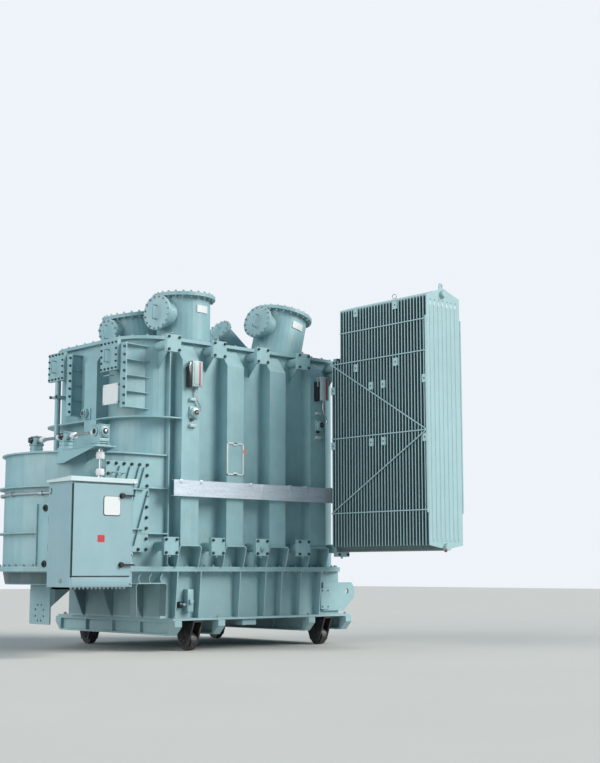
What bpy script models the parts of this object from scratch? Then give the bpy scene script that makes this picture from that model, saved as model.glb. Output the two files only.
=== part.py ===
"""Power transformer: form-fit tank on skids and rollers, one cooling radiator, turrets and a control cabinet.

Metres, +Z up. +X runs along the tank, away from its tap-changer end, and +Y runs from the front to the back.
Every piece is placed in the tank's own frame: the origin is the middle of the upper tank's plan, at rail level.
An empty then carries that frame, so that the whole object stands with the middle of its box over the origin.
"""

import math

import bmesh
import bpy
from mathutils import Matrix, Vector

# Gaps and overlaps shared by every piece
GAP = 0.0003
SINK = 0.004
RUN_GAP = 0.0005
SWING_GAP = 0.006

# Upper tank, seen from above as a box with rounded corners
TANK_LENGTH = 2.94
TANK_WIDTH = 1.74
TANK_CORNER = 0.40
TANK_TOP = 3.20
COVER_THICKNESS = 0.035
COVER_OVERHANG = 0.05
WALL_RIB_THICKNESS = 0.014
WALL_RIB_Z = 2.37
POST_RIB_REACH = 0.05
POST_RIB_SETBACK = 0.37

# Tap-changer chamber at the left end, half round in plan about the tank's end
CHAMBER_TOP = 2.00
CHAMBER_RIM_REACH = 0.035
CHAMBER_RIM_THICKNESS = 0.016
CHAMBER_RIB_REACH = 0.07
CHAMBER_RIB_THICKNESS = 0.014
CHAMBER_RIB_HEIGHTS = (1.64, 1.18)
CHAMBER_TRAY_DEPTH = 0.13
CHAMBER_TRAY_INSET = 0.12

# Base: rollers, skids, base plate and lower tank
ROLLER_RADIUS = 0.10
ROLLER_WIDTH = 0.075
AXLE_RADIUS = 0.028
SKID_BOTTOM = 0.16
SKID_HEIGHT = 0.15
SKID_WIDTH = 0.09
SKID_WEB = 0.014
SKID_FLANGE = 0.018
SKID_CHAMFER = 0.09
SKID_POCKETS = 4
SKID_REACH = 0.18
SKID_TAIL_REACH = 0.33
SKID_SHARES = (-0.714, -0.333, 0.531, 0.912)
BASE_PLATE_THICKNESS = 0.022
BASE_PLATE_REACH = 0.15
BASE_PLATE_TAIL_REACH = 0.28
LOWER_TANK_LEFT_SETBACK = 0.33
LOWER_TANK_RIGHT_SETBACK = 0.11
LOWER_TANK_INSET = 0.01
FLANGE_Z = 0.805
FLANGE_THICKNESS = 0.025
FLANGE_REACH = 0.10
BASE_RIB_THICKNESS = 0.014
BASE_RIB_TOP_REACH = 0.098
BASE_RIB_FOOT_REACH = 0.06
BASE_RIB_SHARES = (-0.680, -0.476, -0.116, 0.126, 0.284, 0.476, 0.680)
BOGIE_CHEEK = 0.02
BOGIE_TOP_LENGTH = 0.34
BOGIE_FOOT_LENGTH = 0.14
BOGIE_FOOT_Z = 0.05
BOGIE_SET_BACK = 0.20

# Box stiffeners on the walls, midway between the pipe stubs
BAY_COUNT = 4
END_BAY_LENGTH = 0.27
STIFFENER_REACH = 0.148
STIFFENER_WIDTH = 0.23
STIFFENER_FOOT = 1.07
STIFFENER_HEAD = 3.19
STIFFENER_SLOPE_HEIGHT = 0.20
SHELF_THICKNESS = 0.012
SHELF_WIDTH = 0.29
SHELF_REACH = 0.175
SHELF_FOOT_REACH = 0.125
SHELF_CORNER = 0.035
END_STIFFENER_SHARE = 0.374

# Pipe stubs for the radiators
STUB_RADIUS = 0.05
STUB_LENGTH = 0.25
STUB_FLANGE = 0.18
STUB_FLANGE_THICKNESS = 0.022
STUB_TOP_Z = 3.13
STUB_FOOT_Z = 1.06
STUB_WEB_DROP = 0.20
STUB_WEB_THICKNESS = 0.008

# Radiator on the fitted stub
FIN_WIDTH = 0.52
FIN_THICKNESS = 0.011
FIN_PITCH = 0.045
FIN_COUNT = 30
SHORT_FIN_COUNT = 3
FIN_FOOT_Z = 1.075
FIN_HEAD_Z = 3.716
SHORT_FIN_HEAD_Z = 3.15
FIN_PEAK = 0.06
FIN_PEAK_FLAT = 0.16
HEADER_RADIUS = 0.042
HEADER_TOP_Z = 3.745
HEADER_FOOT_Z = 1.06
FIRST_FIN_REACH = 0.10
NECK_BEND = 0.09
NECK_PIPE_SHARE = 0.9
HEADER_PLUG_LENGTH = 0.035
STAY_RADIUS = 0.007
STAY_HEIGHTS = (1.44, 2.27, 3.11, 3.45)
CLIP_SIZE = 0.06
CLIP_THICKNESS = 0.008

# Turrets on the cover
TURRET_SHARES = {"left_front": (-0.449, 0.184), "right_front": (0.449, 0.184), "left_back": (-0.544, 0.563)}
TURRET_TILTS = {"left_front": 0, "right_front": 13, "left_back": -10}
NECK_TURN = 9
SLANTED_TURRET_SHARES = (0.211, 0.546)
SLANTED_TURRET_TILT = -52
SLANTED_TURRET_LIFT = 0.345
SLANTED_TURRET_RADIUS = 0.155
TURRET_RADIUS = 0.29
TURRET_FLANGE_RADIUS = 0.345
TURRET_FLANGE_THICKNESS = 0.02
TURRET_LID_THICKNESS = 0.018
TALL_TURRET_HEIGHT = 0.52
LOW_TURRET_HEIGHT = 0.40
NECK_RADIUS = 0.15
NECK_FLANGE_RADIUS = 0.19
LOW_NECK_RADIUS = 0.105
LOW_NECK_FLANGE_RADIUS = 0.14
NECK_FLANGE_THICKNESS = 0.018
NECK_REACH = 0.40
NECK_COVER_THICKNESS = 0.016

# Blank covers, bolted ribs, hatch and tray
BLANK_SIZE = 0.31
BLANK_THICKNESS = 0.02
BLANK_NECK_SIZE = 0.25
BLANK_REACH = 0.18
BLANK_NECK_SHARE = 0.425
BLANK_Z = 3.01
BLANK_SHARES = {"front": 0.156, "back": 0.744}
END_RIB_REACH = 0.145
END_RIB_WIDTH = 0.10
END_RIB_FOOT = 2.46
END_RIB_HEAD = 3.13
END_RIB_SHELVES = 5
END_RIB_RUN = 0.345
END_RIB_PLATE = 0.014
END_RIB_SHEET = 0.008
END_RIB_CLEARANCE = 0.005
HATCH_LENGTH = 0.52
HATCH_OFFSET = 0.11
HATCH_FOOT = 1.00
HATCH_HEAD = 1.90
HATCH_FRAME = 0.06
HATCH_REACH = 0.05
HATCH_PLATE = 0.016
TRAY_HEIGHT = 0.165
TRAY_DEPTH = 0.05
TRAY_SHEET = 0.004
TRAY_FOOT_Z = 1.57
TRAY_LEFT_SETBACK = 0.33
TRAY_RIGHT_SETBACK = 0.22

# Control cabinet at the left front corner
CABINET_WIDTH = 0.69
CABINET_DEPTH = 0.40
CABINET_HEIGHT = 0.98
CABINET_SETOUT = 1.08
CABINET_REACH = 0.515
CABINET_FOOT = 0.66
CABINET_SHEET = 0.006
CABINET_RETURN = 0.035
ROOF_OVERHANG = 0.03
ROOF_THICKNESS = 0.02
ROOF_FALL = 0.025
DOOR_MARGIN = 0.02
DOOR_FOOT_MARGIN = 0.105
DOOR_HINGE_MARGIN = 0.01
DOOR_LATCH_MARGIN = 0.03
DOOR_THICKNESS = 0.022
HANDLE_RADIUS = 0.022
HANDLE_STEM = 0.03
HANDLE_LEVER = 0.13
HANDLE_LEVER_WIDTH = 0.016
HANDLE_INSET = 0.115
HANDLE_HEIGHT_SHARES = (0.12, 0.885)
BRACKET_BAR = 0.04
BRACKET_HEIGHT_SHARES = (0.25, 0.80)
BRACKET_DEPTH_SHARE = 0.55
BRACKET_ARM_SHARE = 0.80

# Tap-changer drive
DRIVE_SETOUT = 0.60
DRIVE_REACH = 0.25
SHAFT_RADIUS = 0.016
COUPLING_RADIUS = 0.028
COUPLING_LENGTH = 0.05
GEARBOX_SIZE = 0.12
GEARBOX_LIFT = 0.08
DRIVE_PLATE = 0.012
DRIVE_SHELF_WIDTH = 0.24
DRIVE_SHELF_REACH = 0.35
DRIVE_SHELF_SETBACK = 0.23
DRIVE_GUSSET_DROP = 0.13
GEARBOX_CAP_RADIUS = 0.045
HEAD_SETBACKS = (0.37, 0.95)
HEAD_SIZE = 0.13
HEAD_SHOULDER = 0.02
HEAD_RISE = 0.035
HEAD_DOME_RADIUS = 0.05
HEAD_BOSS_RADIUS = 0.03
HEAD_FOOT_RADIUS = 0.10
HEAD_FOOT_THICKNESS = 0.016

# Solver for the shells, whose many level faces meet edge on edge
WELD = "MANIFOLD"

# Sides of round pieces
BIG_SIDES = 32
PIPE_SIDES = 16
SMALL_SIDES = 12
ARC_STEPS = 10
BEND_STEPS = 5

# Heights and reaches that follow from the sizes above
BASE_PLATE_FOOT = SKID_BOTTOM + SKID_HEIGHT
BASE_PLATE_TOP = BASE_PLATE_FOOT + BASE_PLATE_THICKNESS
BELL_FOOT = FLANGE_Z + FLANGE_THICKNESS
COVER_TOP = TANK_TOP + COVER_THICKNESS
HALF_LENGTH = TANK_LENGTH / 2
HALF_WIDTH = TANK_WIDTH / 2
BAY_LENGTH = (TANK_LENGTH - 2 * END_BAY_LENGTH) / BAY_COUNT
POST_X = -HALF_LENGTH + POST_RIB_SETBACK
CHAMBER_RIGHT = POST_X - WALL_RIB_THICKNESS / 2 - GAP
LOWER_TANK_LEFT = -HALF_LENGTH + LOWER_TANK_LEFT_SETBACK
LOWER_TANK_RIGHT = HALF_LENGTH - LOWER_TANK_RIGHT_SETBACK
SKID_PLACES = [HALF_LENGTH * share for share in SKID_SHARES]
END_STIFFENER_Y = -HALF_WIDTH + TANK_WIDTH * END_STIFFENER_SHARE
STIFFENER_OUT = HALF_WIDTH + STIFFENER_REACH
STUB_END = HALF_WIDTH + STUB_LENGTH
FITTED_X = BAY_LENGTH * BAY_COUNT / 2
FIRST_FIN_Y = -STUB_END - FIRST_FIN_REACH
BLANK_PLACES = {name: -HALF_WIDTH + TANK_WIDTH * share for name, share in BLANK_SHARES.items()}
END_RIB_OFFSET = (BLANK_SIZE + END_RIB_WIDTH) / 2 + END_RIB_CLEARANCE
HATCH_RIGHT = -HALF_LENGTH + HATCH_OFFSET
HATCH_LEFT = HATCH_RIGHT - HATCH_LENGTH
CABINET_LEFT = -HALF_LENGTH - CABINET_SETOUT
CABINET_FRONT = -HALF_WIDTH - CABINET_REACH
DRIVE_X = -HALF_LENGTH - DRIVE_SETOUT
DRIVE_Y = -HALF_WIDTH - DRIVE_REACH
HEAD_PLACES = [-HALF_WIDTH + setback for setback in HEAD_SETBACKS]

PAINT = ("tank_paint", (0.24, 0.42, 0.46), 0.38, 0.0)
PALE_PAINT = ("pale_paint", (0.42, 0.60, 0.63), 0.38, 0.0)
ZINC = ("zinc_sheet", (0.50, 0.54, 0.57), 0.42, 0.8)
BLACK_STEEL = ("black_steel", (0.02, 0.022, 0.025), 0.55, 0.3)
BLACK_PLASTIC = ("black_plastic", (0.012, 0.012, 0.013), 0.4, 0.0)
BRIGHT_STEEL = ("bright_steel", (0.55, 0.57, 0.58), 0.3, 0.9)


def clear_scene():
    for thing in list(bpy.data.objects):
        bpy.data.objects.remove(thing)


def new_collection(name):
    collection = bpy.data.collections.new(name)
    bpy.context.scene.collection.children.link(collection)
    return collection


def finish(finish_values):
    """The material of one finish, made once."""
    name, colour, roughness, metallic = finish_values
    material = bpy.data.materials.get(name)
    if material is None:
        material = bpy.data.materials.new(name)
        material.use_nodes = True
        shader = material.node_tree.nodes["Principled BSDF"]
        shader.inputs["Base Color"].default_value = (*colour, 1)
        shader.inputs["Roughness"].default_value = roughness
        shader.inputs["Metallic"].default_value = metallic
        material.diffuse_color = (*colour, 1)
    return material


def scratch(shape):
    """A bmesh as a loose object, ready to be fused, cut or kept."""
    mesh = bpy.data.meshes.new("piece")
    bmesh.ops.recalc_face_normals(shape, faces=shape.faces)
    shape.to_mesh(mesh)
    shape.free()
    piece = bpy.data.objects.new("piece", mesh)
    bpy.context.scene.collection.objects.link(piece)
    return piece


def block(low, high):
    """A box between two corners."""
    low, high = Vector(low), Vector(high)
    shape = bmesh.new()
    bmesh.ops.create_cube(shape, size=1)
    bmesh.ops.scale(shape, vec=high - low, verts=shape.verts)
    bmesh.ops.translate(shape, vec=(low + high) / 2, verts=shape.verts)
    return scratch(shape)


def rod(start, end, radius, sides=PIPE_SIDES, end_radius=None):
    """A cylinder or cone from one point to another, with a flat side facing up where it lies level."""
    start, end = Vector(start), Vector(end)
    shape = bmesh.new()
    bmesh.ops.create_cone(
        shape,
        cap_ends=True,
        segments=sides,
        radius1=radius,
        radius2=radius if end_radius is None else end_radius,
        depth=(end - start).length,
    )
    turn = (end - start).to_track_quat("Z", "X").to_matrix().to_4x4()
    half_side = Matrix.Rotation(math.pi / sides, 4, "Z")
    bmesh.ops.transform(shape, matrix=Matrix.Translation((start + end) / 2) @ turn @ half_side, verts=shape.verts)
    return scratch(shape)


PLANES = {
    "Z": Matrix.Identity(4),
    "Y": Matrix.Rotation(math.pi / 2, 4, "X"),
    "X": Matrix(((0, 0, 1, 0), (1, 0, 0, 0), (0, 1, 0, 0), (0, 0, 0, 1))),
}


def prism(outlines, low, high, along="Z"):
    """A flat outline, with any holes, given thickness from low to high along an axis.

    Its points are (x, y) along Z, (x, z) along Y and (y, z) along X.
    """
    curve = bpy.data.curves.new("outline", "CURVE")
    curve.dimensions = "2D"
    curve.fill_mode = "BOTH"
    curve.extrude = (high - low) / 2
    for points in outlines:
        spline = curve.splines.new("POLY")
        spline.points.add(len(points) - 1)
        for point, (u, v) in zip(spline.points, points):
            point.co = (u, v, 0, 1)
        spline.use_cyclic_u = True
    guide = bpy.data.objects.new("outline", curve)
    bpy.context.scene.collection.objects.link(guide)
    graph = bpy.context.evaluated_depsgraph_get()
    mesh = bpy.data.meshes.new_from_object(guide.evaluated_get(graph))
    bpy.data.objects.remove(guide)
    shape = bmesh.new()
    shape.from_mesh(mesh)
    bpy.data.meshes.remove(mesh)
    bmesh.ops.remove_doubles(shape, verts=shape.verts, dist=GAP / 4)
    middle = (low + high) / 2
    offset = {"Z": (0, 0, middle), "Y": (0, middle, 0), "X": (middle, 0, 0)}[along]
    bmesh.ops.transform(shape, matrix=Matrix.Translation(offset) @ PLANES[along], verts=shape.verts)
    return scratch(shape)


def arc(centre, radius, start, end, steps):
    """Points on an arc, with angles in degrees."""
    return [
        (
            centre[0] + radius * math.cos(math.radians(start + (end - start) * step / steps)),
            centre[1] + radius * math.sin(math.radians(start + (end - start) * step / steps)),
        )
        for step in range(steps + 1)
    ]


def rounded_plan(left, right, half_width, left_corner, right_corner):
    """The outline of a tank seen from above. A corner of zero stays square."""
    points = []
    for x, y, start, corner in (
        (right, half_width, 0, right_corner),
        (left, half_width, 90, left_corner),
        (left, -half_width, 180, left_corner),
        (right, -half_width, 270, right_corner),
    ):
        if not corner:
            points.append((x, y))
            continue
        inward_x = -corner if x == right else corner
        inward_y = -corner if y > 0 else corner
        points += arc((x + inward_x, y + inward_y), corner, start, start + 90, ARC_STEPS)
    return points


def tank_plan(grow=0.0):
    return rounded_plan(
        -HALF_LENGTH - grow, HALF_LENGTH + grow, HALF_WIDTH + grow, TANK_CORNER + grow, TANK_CORNER + grow
    )


def chamber_plan(grow=0.0):
    """The half-round chamber, out to the upright rib where it runs into the tank."""
    radius = HALF_WIDTH + grow
    around = arc((-HALF_LENGTH, 0), radius, 90, 270, 2 * ARC_STEPS)
    return [(CHAMBER_RIGHT, -radius), (CHAMBER_RIGHT, radius), *around]


def boolean(base, other, operation, solver):
    """Applies one Boolean step to the base and removes the other piece."""
    change = base.modifiers.new("change", "BOOLEAN")
    change.operation = operation
    change.solver = solver
    change.object = other
    graph = bpy.context.evaluated_depsgraph_get()
    mesh = bpy.data.meshes.new_from_object(base.evaluated_get(graph))
    base.modifiers.clear()
    base.data = mesh
    bpy.data.objects.remove(other)
    return base


def fuse(*pieces, solver="EXACT"):
    base = pieces[0]
    for other in pieces[1:]:
        boolean(base, other, "UNION", solver)
    return base


def cut(base, *cutters, solver="EXACT"):
    for cutter in cutters:
        boolean(base, cutter, "DIFFERENCE", solver)
    return base


def gather(pieces):
    """Several pieces that don't touch, as one object for a Boolean step."""
    shape = bmesh.new()
    for piece in pieces:
        shape.from_mesh(piece.data)
        bpy.data.objects.remove(piece)
    return scratch(shape)


def mirrored(make):
    """A piece for the front and its mirror image for the back."""
    front, back = make(), make()
    for vertex in back.data.vertices:
        vertex.co.y = -vertex.co.y
    back.data.flip_normals()
    return front, back


def clean(piece):
    """Merges the points that a Boolean step leaves almost on each other."""
    shape = bmesh.new()
    shape.from_mesh(piece.data)
    bmesh.ops.remove_doubles(shape, verts=shape.verts, dist=GAP / 10)
    bmesh.ops.dissolve_degenerate(shape, edges=shape.edges, dist=GAP / 10)
    shape.to_mesh(piece.data)
    shape.free()


def keep(name, piece, finish_values, pivot=(0, 0, 0), parent=None, round_piece=False):
    """Names a finished piece, sets its origin on its pivot and hangs it under its parent."""
    clean(piece)
    pivot = Vector(pivot)
    piece.name = piece.data.name = name
    piece.data.transform(Matrix.Translation(-pivot))
    piece.data.materials.clear()
    piece.data.materials.append(finish(finish_values))
    for polygon in piece.data.polygons:
        polygon.material_index = 0
    if round_piece:
        piece.data.shade_smooth()
        piece.data.set_sharp_from_angle(angle=math.radians(35))
    bpy.context.scene.collection.objects.unlink(piece)
    parts.objects.link(piece)
    piece.parent = parent or frame
    piece.location = pivot - (parent.location if parent else Vector())
    return piece


def stub_places():
    """The ends of the bays along the tank."""
    return [(index - BAY_COUNT / 2) * BAY_LENGTH for index in range(BAY_COUNT + 1)]


def stiffener_places():
    """The middles of the bays along the tank."""
    return [(index - (BAY_COUNT - 1) / 2) * BAY_LENGTH for index in range(BAY_COUNT)]


def pipe_stub(x, z, fitted):
    """A pipe out of the wall with its square flange, and a blank plate where no radiator hangs."""
    face = STUB_END - (STUB_FLANGE_THICKNESS if fitted else 0)
    half = STUB_FLANGE / 2
    pipe = rod((x, -HALF_WIDTH + TANK_CORNER / 2, z), (x, -face + SINK, z), STUB_RADIUS)
    flange = block((x - half, -face, z - half), (x + half, -face + 2 * STUB_FLANGE_THICKNESS, z + half))
    return fuse(pipe, flange)


def stub_web(x):
    """The thin gusset under an upper stub."""
    wall = -HALF_WIDTH + TANK_CORNER / 2
    top = STUB_TOP_Z - STUB_RADIUS / 2
    points = [(wall, top), (-STUB_END + 3 * STUB_FLANGE_THICKNESS, top), (wall, top - 2 * STUB_WEB_DROP)]
    return prism([points], x - STUB_WEB_THICKNESS / 2, x + STUB_WEB_THICKNESS / 2, "X")


def add_stubs(tank, places, levels):
    """Welds pipe stubs to the front and the back of a shell, with a thin gusset under each upper one."""
    for x in places:
        for level in levels:
            front = pipe_stub(x, level, abs(x - FITTED_X) < GAP)
            back = pipe_stub(x, level, False)
            back.data.transform(Matrix.Scale(-1, 4, (0, 1, 0)))
            back.data.flip_normals()
            fuse(tank, front, back, solver=WELD)
            if level == STUB_TOP_Z:
                fuse(tank, *mirrored(lambda: stub_web(x)), solver=WELD)


def make_bell():
    """Upper tank with its flange, end ring, upright ribs and pipe stubs, welded into one shell."""
    bell = prism([tank_plan()], BELL_FOOT + GAP + SINK, TANK_TOP)
    flange = prism([tank_plan(FLANGE_REACH)], BELL_FOOT + GAP, BELL_FOOT + FLANGE_THICKNESS)
    plan = rounded_plan(-HALF_LENGTH - STIFFENER_REACH, 0, STIFFENER_OUT, TANK_CORNER + STIFFENER_REACH, 0)
    ring = prism([plan], WALL_RIB_Z, WALL_RIB_Z + WALL_RIB_THICKNESS)
    ring_end = stiffener_places()[0] - STIFFENER_WIDTH / 2 - GAP
    cut(ring, block((ring_end, -2 * STIFFENER_OUT, 0), (HALF_LENGTH, 2 * STIFFENER_OUT, TANK_TOP)))
    fuse(bell, flange, ring, solver=WELD)
    half = WALL_RIB_THICKNESS / 2
    for side in (-1, 1):
        outer, inner = side * (HALF_WIDTH + POST_RIB_REACH), side * (HALF_WIDTH - POST_RIB_REACH)
        foot, head = BELL_FOOT + FLANGE_THICKNESS / 2, TANK_TOP - SINK
        post = block(
            (POST_X - half, min(outer, inner), foot), (POST_X + half, max(outer, inner), head)
        )
        fuse(bell, post, solver=WELD)
    first, *others = stub_places()
    add_stubs(bell, [first], [STUB_TOP_Z])
    add_stubs(bell, others, [STUB_TOP_Z, STUB_FOOT_Z])
    keep("bell_tank", bell, PAINT, round_piece=True)


def make_chamber():
    """The half-round chamber against the left end of the tank, with its rim, ring ribs, flange and two stubs."""
    chamber = prism([chamber_plan()], BELL_FOOT + GAP + SINK, CHAMBER_TOP - SINK)
    pieces = [
        prism([chamber_plan(CHAMBER_RIM_REACH)], CHAMBER_TOP - CHAMBER_RIM_THICKNESS, CHAMBER_TOP),
        prism([chamber_plan(FLANGE_REACH)], BELL_FOOT + GAP, BELL_FOOT + FLANGE_THICKNESS),
    ]
    for height in CHAMBER_RIB_HEIGHTS:
        pieces.append(prism([chamber_plan(CHAMBER_RIB_REACH)], height, height + CHAMBER_RIB_THICKNESS))
    fuse(chamber, *pieces, solver=WELD)
    add_stubs(chamber, stub_places()[:1], [STUB_FOOT_Z])
    inside = prism([tank_plan(GAP)], FLANGE_Z, TANK_TOP)
    below = prism([tank_plan(FLANGE_REACH + GAP)], FLANGE_Z, BELL_FOOT + FLANGE_THICKNESS + GAP)
    keep("tap_chamber", cut(chamber, inside, below, solver=WELD), PAINT, round_piece=True)


def make_cover():
    cover = prism([tank_plan(COVER_OVERHANG)], TANK_TOP + GAP, COVER_TOP)
    keep("tank_cover", cover, PAINT)


def base_rib(x):
    """A tapered gusset between the base plate and the flange."""
    wall = -HALF_WIDTH + LOWER_TANK_INSET + BASE_RIB_FOOT_REACH
    points = [
        (wall, BASE_PLATE_TOP - SINK),
        (wall, FLANGE_Z + SINK),
        (-HALF_WIDTH - BASE_RIB_TOP_REACH, FLANGE_Z + SINK),
        (-HALF_WIDTH - BASE_RIB_FOOT_REACH, BASE_PLATE_TOP - SINK),
    ]
    return prism([points], x - BASE_RIB_THICKNESS / 2, x + BASE_RIB_THICKNESS / 2, "X")


def make_base():
    """Lower tank with its base plate, flange and gussets."""
    inset = HALF_WIDTH - LOWER_TANK_INSET
    base = block((LOWER_TANK_LEFT, -inset, BASE_PLATE_TOP - SINK), (LOWER_TANK_RIGHT, inset, FLANGE_Z + SINK))
    plate = block(
        (min(SKID_PLACES) - SKID_WIDTH / 2, -HALF_WIDTH - BASE_PLATE_REACH, BASE_PLATE_FOOT + GAP),
        (max(SKID_PLACES) + SKID_WIDTH / 2, HALF_WIDTH + BASE_PLATE_TAIL_REACH, BASE_PLATE_TOP),
    )
    fuse(base, plate, prism([tank_plan(FLANGE_REACH)], FLANGE_Z, BELL_FOOT))
    for share in BASE_RIB_SHARES:
        fuse(base, *mirrored(lambda: base_rib(HALF_LENGTH * share)))
    keep("base_tank", base, PAINT)


def make_chamber_tray():
    """The chamber's lower flange and its dished underside."""
    tray = prism([chamber_plan(-SINK)], FLANGE_Z - CHAMBER_TRAY_DEPTH, FLANGE_Z + SINK)
    centre = -HALF_LENGTH
    share = 1 - CHAMBER_TRAY_INSET / HALF_WIDTH
    for vertex in tray.data.vertices:
        if vertex.co.z < FLANGE_Z - CHAMBER_TRAY_DEPTH / 2:
            vertex.co.y *= share
            vertex.co.x = min(vertex.co.x, centre + (vertex.co.x - centre) * share)
    fuse(tray, prism([chamber_plan(FLANGE_REACH)], FLANGE_Z, BELL_FOOT))
    inset = HALF_WIDTH - LOWER_TANK_INSET + GAP
    inside = block((LOWER_TANK_LEFT - GAP, -inset, BASE_PLATE_TOP), (LOWER_TANK_RIGHT, inset, BELL_FOOT + SINK))
    flange = prism([tank_plan(FLANGE_REACH + GAP)], FLANGE_Z - GAP, BELL_FOOT + SINK)
    keep("chamber_tray", cut(tray, inside, flange), PAINT)


def make_skid(number, x):
    """A closed beam across the tank, with pockets between its web stiffeners and chamfered ends."""
    front, back = -HALF_WIDTH - SKID_REACH, HALF_WIDTH + SKID_TAIL_REACH
    top = SKID_BOTTOM + SKID_HEIGHT
    side = [
        (front, top),
        (back, top),
        (back, SKID_BOTTOM + SKID_CHAMFER),
        (back - SKID_CHAMFER, SKID_BOTTOM),
        (front + SKID_CHAMFER, SKID_BOTTOM),
        (front, SKID_BOTTOM + SKID_CHAMFER),
    ]
    beam = prism([side], x - SKID_WIDTH / 2, x + SKID_WIDTH / 2, "X")
    first = front + SKID_CHAMFER + SKID_FLANGE
    run = (back - SKID_CHAMFER - SKID_FLANGE - first + SKID_WEB) / SKID_POCKETS
    pockets = []
    for face in (-1, 1):
        near, far = x + face * SKID_WEB / 2, x + face * SKID_WIDTH
        for index in range(SKID_POCKETS):
            start = first + index * run
            pockets.append(
                block(
                    (min(near, far), start, SKID_BOTTOM + SKID_FLANGE),
                    (max(near, far), start + run - SKID_WEB, top - SKID_FLANGE),
                )
            )
    cut(beam, gather(pockets))
    keep(f"skid_beam_{number}", beam, PAINT)


def wheel_places():
    """Two bogies on each track, near the ends of the skids."""
    places = {}
    tracks = {"left": (SKID_PLACES[0] + SKID_PLACES[1]) / 2, "right": (SKID_PLACES[2] + SKID_PLACES[3]) / 2}
    for track, x in tracks.items():
        places[f"{track}_front"] = (x, -HALF_WIDTH - SKID_REACH + BOGIE_SET_BACK)
        places[f"{track}_back"] = (x, HALF_WIDTH + SKID_TAIL_REACH - BOGIE_SET_BACK)
    return places


def make_bogie(name, x, y):
    """Two cheeks under a top plate, bored for the roller's axle."""
    top = BASE_PLATE_FOOT - GAP
    inner = ROLLER_WIDTH / 2 + SWING_GAP
    outer = inner + BOGIE_CHEEK
    half_top, half_foot = BOGIE_TOP_LENGTH / 2, BOGIE_FOOT_LENGTH / 2
    outline = [
        (y - half_top, top),
        (y + half_top, top),
        (y + half_foot, BOGIE_FOOT_Z),
        (y - half_foot, BOGIE_FOOT_Z),
    ]
    bogie = prism([outline], x - outer, x - inner, "X")
    other = prism([outline], x + inner, x + outer, "X")
    edge, end = outer - SINK, half_top - SINK
    cap = block((x - edge, y - end, top - BOGIE_CHEEK), (x + edge, y + end, top - SINK))
    fuse(bogie, cap, other)
    bore = rod((x - 2 * outer, y, ROLLER_RADIUS), (x + 2 * outer, y, ROLLER_RADIUS), AXLE_RADIUS + RUN_GAP)
    keep(f"bogie_{name}", cut(bogie, bore), BLACK_STEEL)


def make_roller(name, x, y):
    """A rail roller with one guiding lip and its axle ends."""
    half = ROLLER_WIDTH / 2
    axle_half = half + SWING_GAP + BOGIE_CHEEK
    tread = rod((x - half, y, ROLLER_RADIUS), (x + half, y, ROLLER_RADIUS), ROLLER_RADIUS, BIG_SIDES)
    axle = rod((x - axle_half, y, ROLLER_RADIUS), (x + axle_half, y, ROLLER_RADIUS), AXLE_RADIUS)
    keep(f"roller_{name}", fuse(tread, axle), BLACK_STEEL, pivot=(x, y, ROLLER_RADIUS), round_piece=True)


def shelf_with_legs(x, foot):
    """One bent plate under a stiffener: a level top, rounded corners, and two legs down to the flange."""
    leg_foot = BELL_FOOT + FLANGE_THICKNESS + GAP
    half, inner, corner = SHELF_WIDTH / 2, SHELF_WIDTH / 2 - SHELF_THICKNESS, SHELF_CORNER
    bend = corner - SHELF_THICKNESS
    outline = [
        (x - half, leg_foot),
        *arc((x - half + corner, foot - corner), corner, 180, 90, BEND_STEPS),
        *arc((x + half - corner, foot - corner), corner, 90, 0, BEND_STEPS),
        (x + half, leg_foot),
        (x + inner, leg_foot),
        *arc((x + half - corner, foot - corner), bend, 0, 90, BEND_STEPS),
        *arc((x - half + corner, foot - corner), bend, 90, 180, BEND_STEPS),
        (x - inner, leg_foot),
    ]
    wall, front = -HALF_WIDTH - GAP, -HALF_WIDTH - SHELF_REACH
    plate = prism([outline], front, wall - SINK / 2, "Y")
    slope = [
        (front - SINK, leg_foot - SINK),
        (-HALF_WIDTH - SHELF_FOOT_REACH, leg_foot - SINK),
        (front, foot - corner),
        (front - SINK, foot - corner),
    ]
    return cut(plate, prism([slope], x - SHELF_WIDTH, x + SHELF_WIDTH, "X"))


def stiffener(x, foot, head, shelf=True):
    """A pressed box on the wall with a sloping head, standing on a shelf with two legs."""
    wall = -HALF_WIDTH - GAP
    out = -STIFFENER_OUT
    side = [(wall, foot), (wall, head), (out, head - STIFFENER_SLOPE_HEIGHT), (out, foot)]
    body = prism([side], x - STIFFENER_WIDTH / 2, x + STIFFENER_WIDTH / 2, "X")
    if shelf:
        fuse(body, shelf_with_legs(x, foot + SINK))
    return body


def make_stiffeners():
    for number, x in enumerate(stiffener_places(), 1):
        front, back = mirrored(lambda: stiffener(x, STIFFENER_FOOT, STIFFENER_HEAD))
        keep(f"front_stiffener_{number}", front, PAINT)
        keep(f"back_stiffener_{number}", back, PAINT)
    shift = HALF_LENGTH - HALF_WIDTH
    left = stiffener(0, WALL_RIB_Z + WALL_RIB_THICKNESS + GAP, STIFFENER_HEAD, shelf=False)
    left.data.transform(Matrix.Translation((-shift, END_STIFFENER_Y, 0)) @ Matrix.Rotation(-math.pi / 2, 4, "Z"))
    keep("left_stiffener", left, PAINT)
    right = stiffener(0, STIFFENER_FOOT, STIFFENER_HEAD)
    right.data.transform(Matrix.Translation((shift, END_STIFFENER_Y, 0)) @ Matrix.Rotation(math.pi / 2, 4, "Z"))
    keep("right_stiffener", right, PAINT)


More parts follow.
